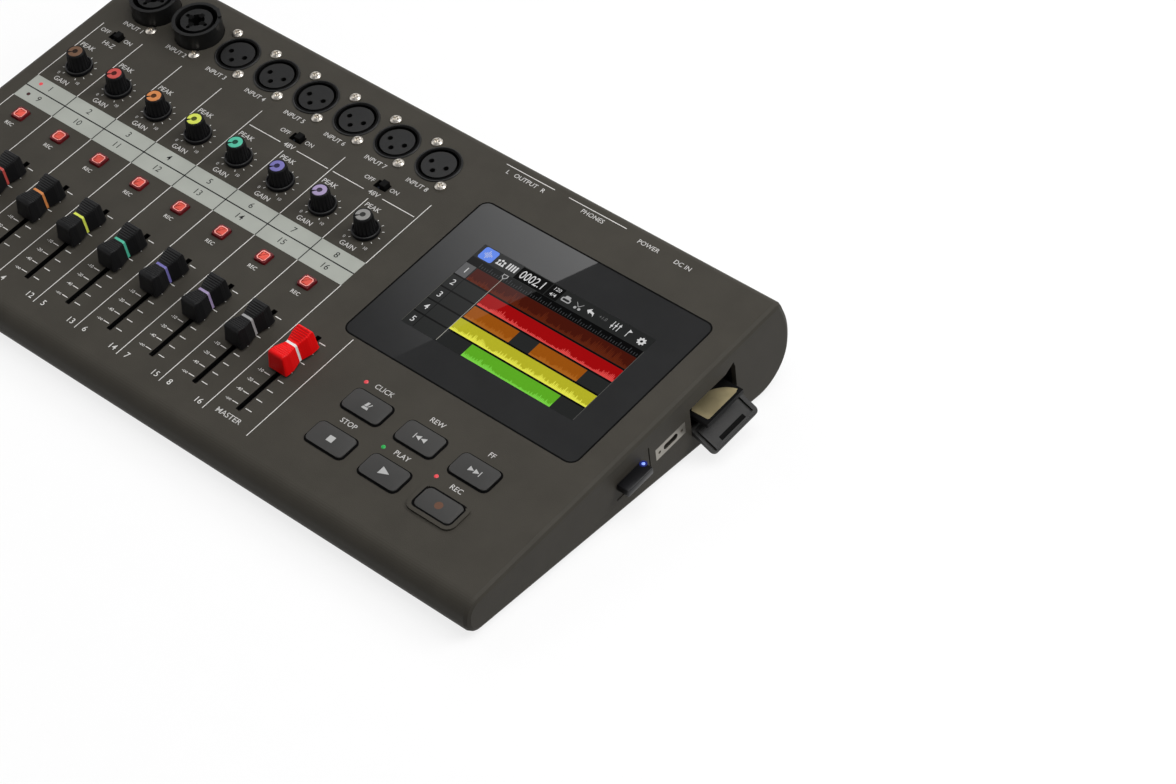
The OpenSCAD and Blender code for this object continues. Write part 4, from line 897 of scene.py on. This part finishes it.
# Indicator lenses.
# Clear light pipes show through small holes: two pick the channel bank, three sit by the keys.
# Each has a low dome and takes the colour of the lamp under it.
LENS_AT = [(-173.5, 6.8, 0), (-173.5, -1.2, 2), (75.4, -39.6, 0), (105.4, -61.6, 1), (133.7, -60.4, 0)]
LENS_PROFILE = [(1.8, -4.0), (1.8, -2.4), (1.0, -2.4), (1.0, 0.05), (0.85, 0.17), (0.5, 0.23), (0.0, 0.25)]
lens_bm = bmesh.new()
for x, v, tone in LENS_AT:
    turned(lens_bm, LENS_PROFILE, (x, v), 24, lambda row, degrees, tone=tone: tone)
piece("lens_set", lens_bm, [
    material("lens_red", (0.58, 0.05, 0.06), 0.25, 0.1, 900, glow=0.4),
    material("lens_green", (0.01, 0.28, 0.05), 0.25, 0.1, 900, glow=0.4),
    material("lens_dark", (0.05, 0.012, 0.012), 0.25, 0.1, 900)], ROOT, stands_for=["indicator_lenses"])

# Slide switches.
# Black lugs slide in short slots beside their printed OFF and ON marks.
# A shoe under the panel keeps each lug in its slot.
lug_mat = material("lug_black", (0.003, 0.003, 0.003), 0.55, 0.1, 1500, 0.15, spec=0.08)
paint(lug_mat, "hi_z_switch", "phantom_switch_a", "phantom_switch_b", "power_switch")

# A black liner with a narrow lip stands in each slot of the panel, painted shade for the slot.
SWITCH_SLOT_L, SWITCH_SLOT_W = 7.0, 4.2
well_bm = bmesh.new()
for x in SWITCH_XS:
    well(well_bm, SWITCH_SLOT_L, SWITCH_SLOT_W, (x, SWITCH_V))
piece("switch_slot_shade", well_bm, [shade_mat], ROOT)

# Right side.
# A plug-in adapter, a data socket with a plated shell and a card bay with a hinged cover.
# The memory card has a printed paper label with a gold lower part.
CARD_TOP, CARD_END = -18.55, 195.3
LABEL_MIDDLE, LABEL_R = (197.0, 46.4), 14.0
ADAPTER_TOP = -12.6
steel_mat = material("plated_steel", (0.27, 0.255, 0.225), 0.36, 0.1, 700, 0.1, 1.0)
paint(steel_mat, "usb_socket")
black_mat = material("black_plastic", (0.008, 0.008, 0.008), 0.5, 0.1, 1800, 0.12, spec=0.15)
paint(black_mat, "card_socket", "adapter_socket")
paint(material("cover_plastic", (0.014, 0.0133, 0.0123), 0.45, 0.1, 1800, 0.15, spec=0.3), "card_cover")
paint(material("card_body", (0.005, 0.005, 0.005), 0.45, 0.1, 1200, 0.1, spec=0.12), "memory_card")

# A black strip over the recess inside the cover, painted shade for the recess, in a plane that leans as the open
# cover does.
COVER_AT, COVER_LEAN = Vector((198.31, 49.0, -29.44)), math.radians(27)
COVER = PANEL @ Matrix.Translation(COVER_AT) @ Matrix.Rotation(COVER_LEAN, 4, "Y")
RECESS_SHADE_W, RECESS_SHADE_L, RECESS_SHADE_R = 2.3, 16.0, 0.4
recess_shade_bm = bmesh.new()
flat(recess_shade_bm, round_rect(RECESS_SHADE_W, RECESS_SHADE_L, RECESS_SHADE_R), INK_W)
piece("cover_recess_shade", recess_shade_bm, [shade_mat], "card_cover", COVER)

label_bm = bmesh.new()
label_arc = [(LABEL_MIDDLE[0] - LABEL_R * math.cos(math.radians(t)),
              LABEL_MIDDLE[1] + LABEL_R * math.sin(math.radians(t))) for t in range(74, -36, -5)]
flat(label_bm, [(CARD_END - 1.9, 39.4), (CARD_END - 1.4, 40.0), (CARD_END - 1.4, 58.0),
                (CARD_END - 1.8, 58.7)] + label_arc, CARD_TOP + INK_W)
piece("card_label", label_bm, [material("label_gold", (0.50, 0.42, 0.24), 0.3, 0.3, 500, 0.05, 0.4)],
      "memory_card")

# The adapter is a block in the colour of the case with a glossy black stick to pull it by.
adapter_bm = bmesh.new()
prism(adapter_bm, [(168.7, -14.3), (188.7, -14.3), (188.7, 7.1), (168.7, 7.1)], -21.7, -9.3)
stick = prism(adapter_bm, [(188.6, -13.6), (195.0, -13.6), (195.0, 2.4), (188.6, 2.4)], -16.2, ADAPTER_TOP, 1)
soften(adapter_bm, stick, 0.5)
piece("adapter_plug", adapter_bm, [
    case_mat, material("adapter_gloss", (0.006, 0.006, 0.007), 0.3, 0.1, 900, spec=0.3)],
    "wireless_adapter", stands_for=["wireless_adapter"])

# A blue lamp glows through its rear end.
LAMP_AT = (190.5, 1.6)
LAMP_PROFILE = [(1.7, 0.02), (0.8, 0.04), (0.7, 0.12), (0.0, 0.2)]
lamp_bm = bmesh.new()
turned(lamp_bm, LAMP_PROFILE, LAMP_AT, 24, lambda row, degrees: min(row, 1))
piece("adapter_lamp", lamp_bm, [material("lamp_halo", (0.006, 0.012, 0.11), 0.3, 0.2, 900, glow=0.5),
                                material("lamp_blue", (0.20, 0.30, 0.85), 0.3, 0.1, 900, glow=0.8)],
      "wireless_adapter", PANEL @ Matrix.Translation((0, 0, ADAPTER_TOP)))

# Rear bay.
# Phone sockets, a volume knob, a slide switch and a power inlet sit in a recess of the rear face.
# Their moulded bodies are clamped to its wall.
paint(socket_mat, "rear_jacks", "dc_inlet")
paint(knob_mat, "phones_knob")
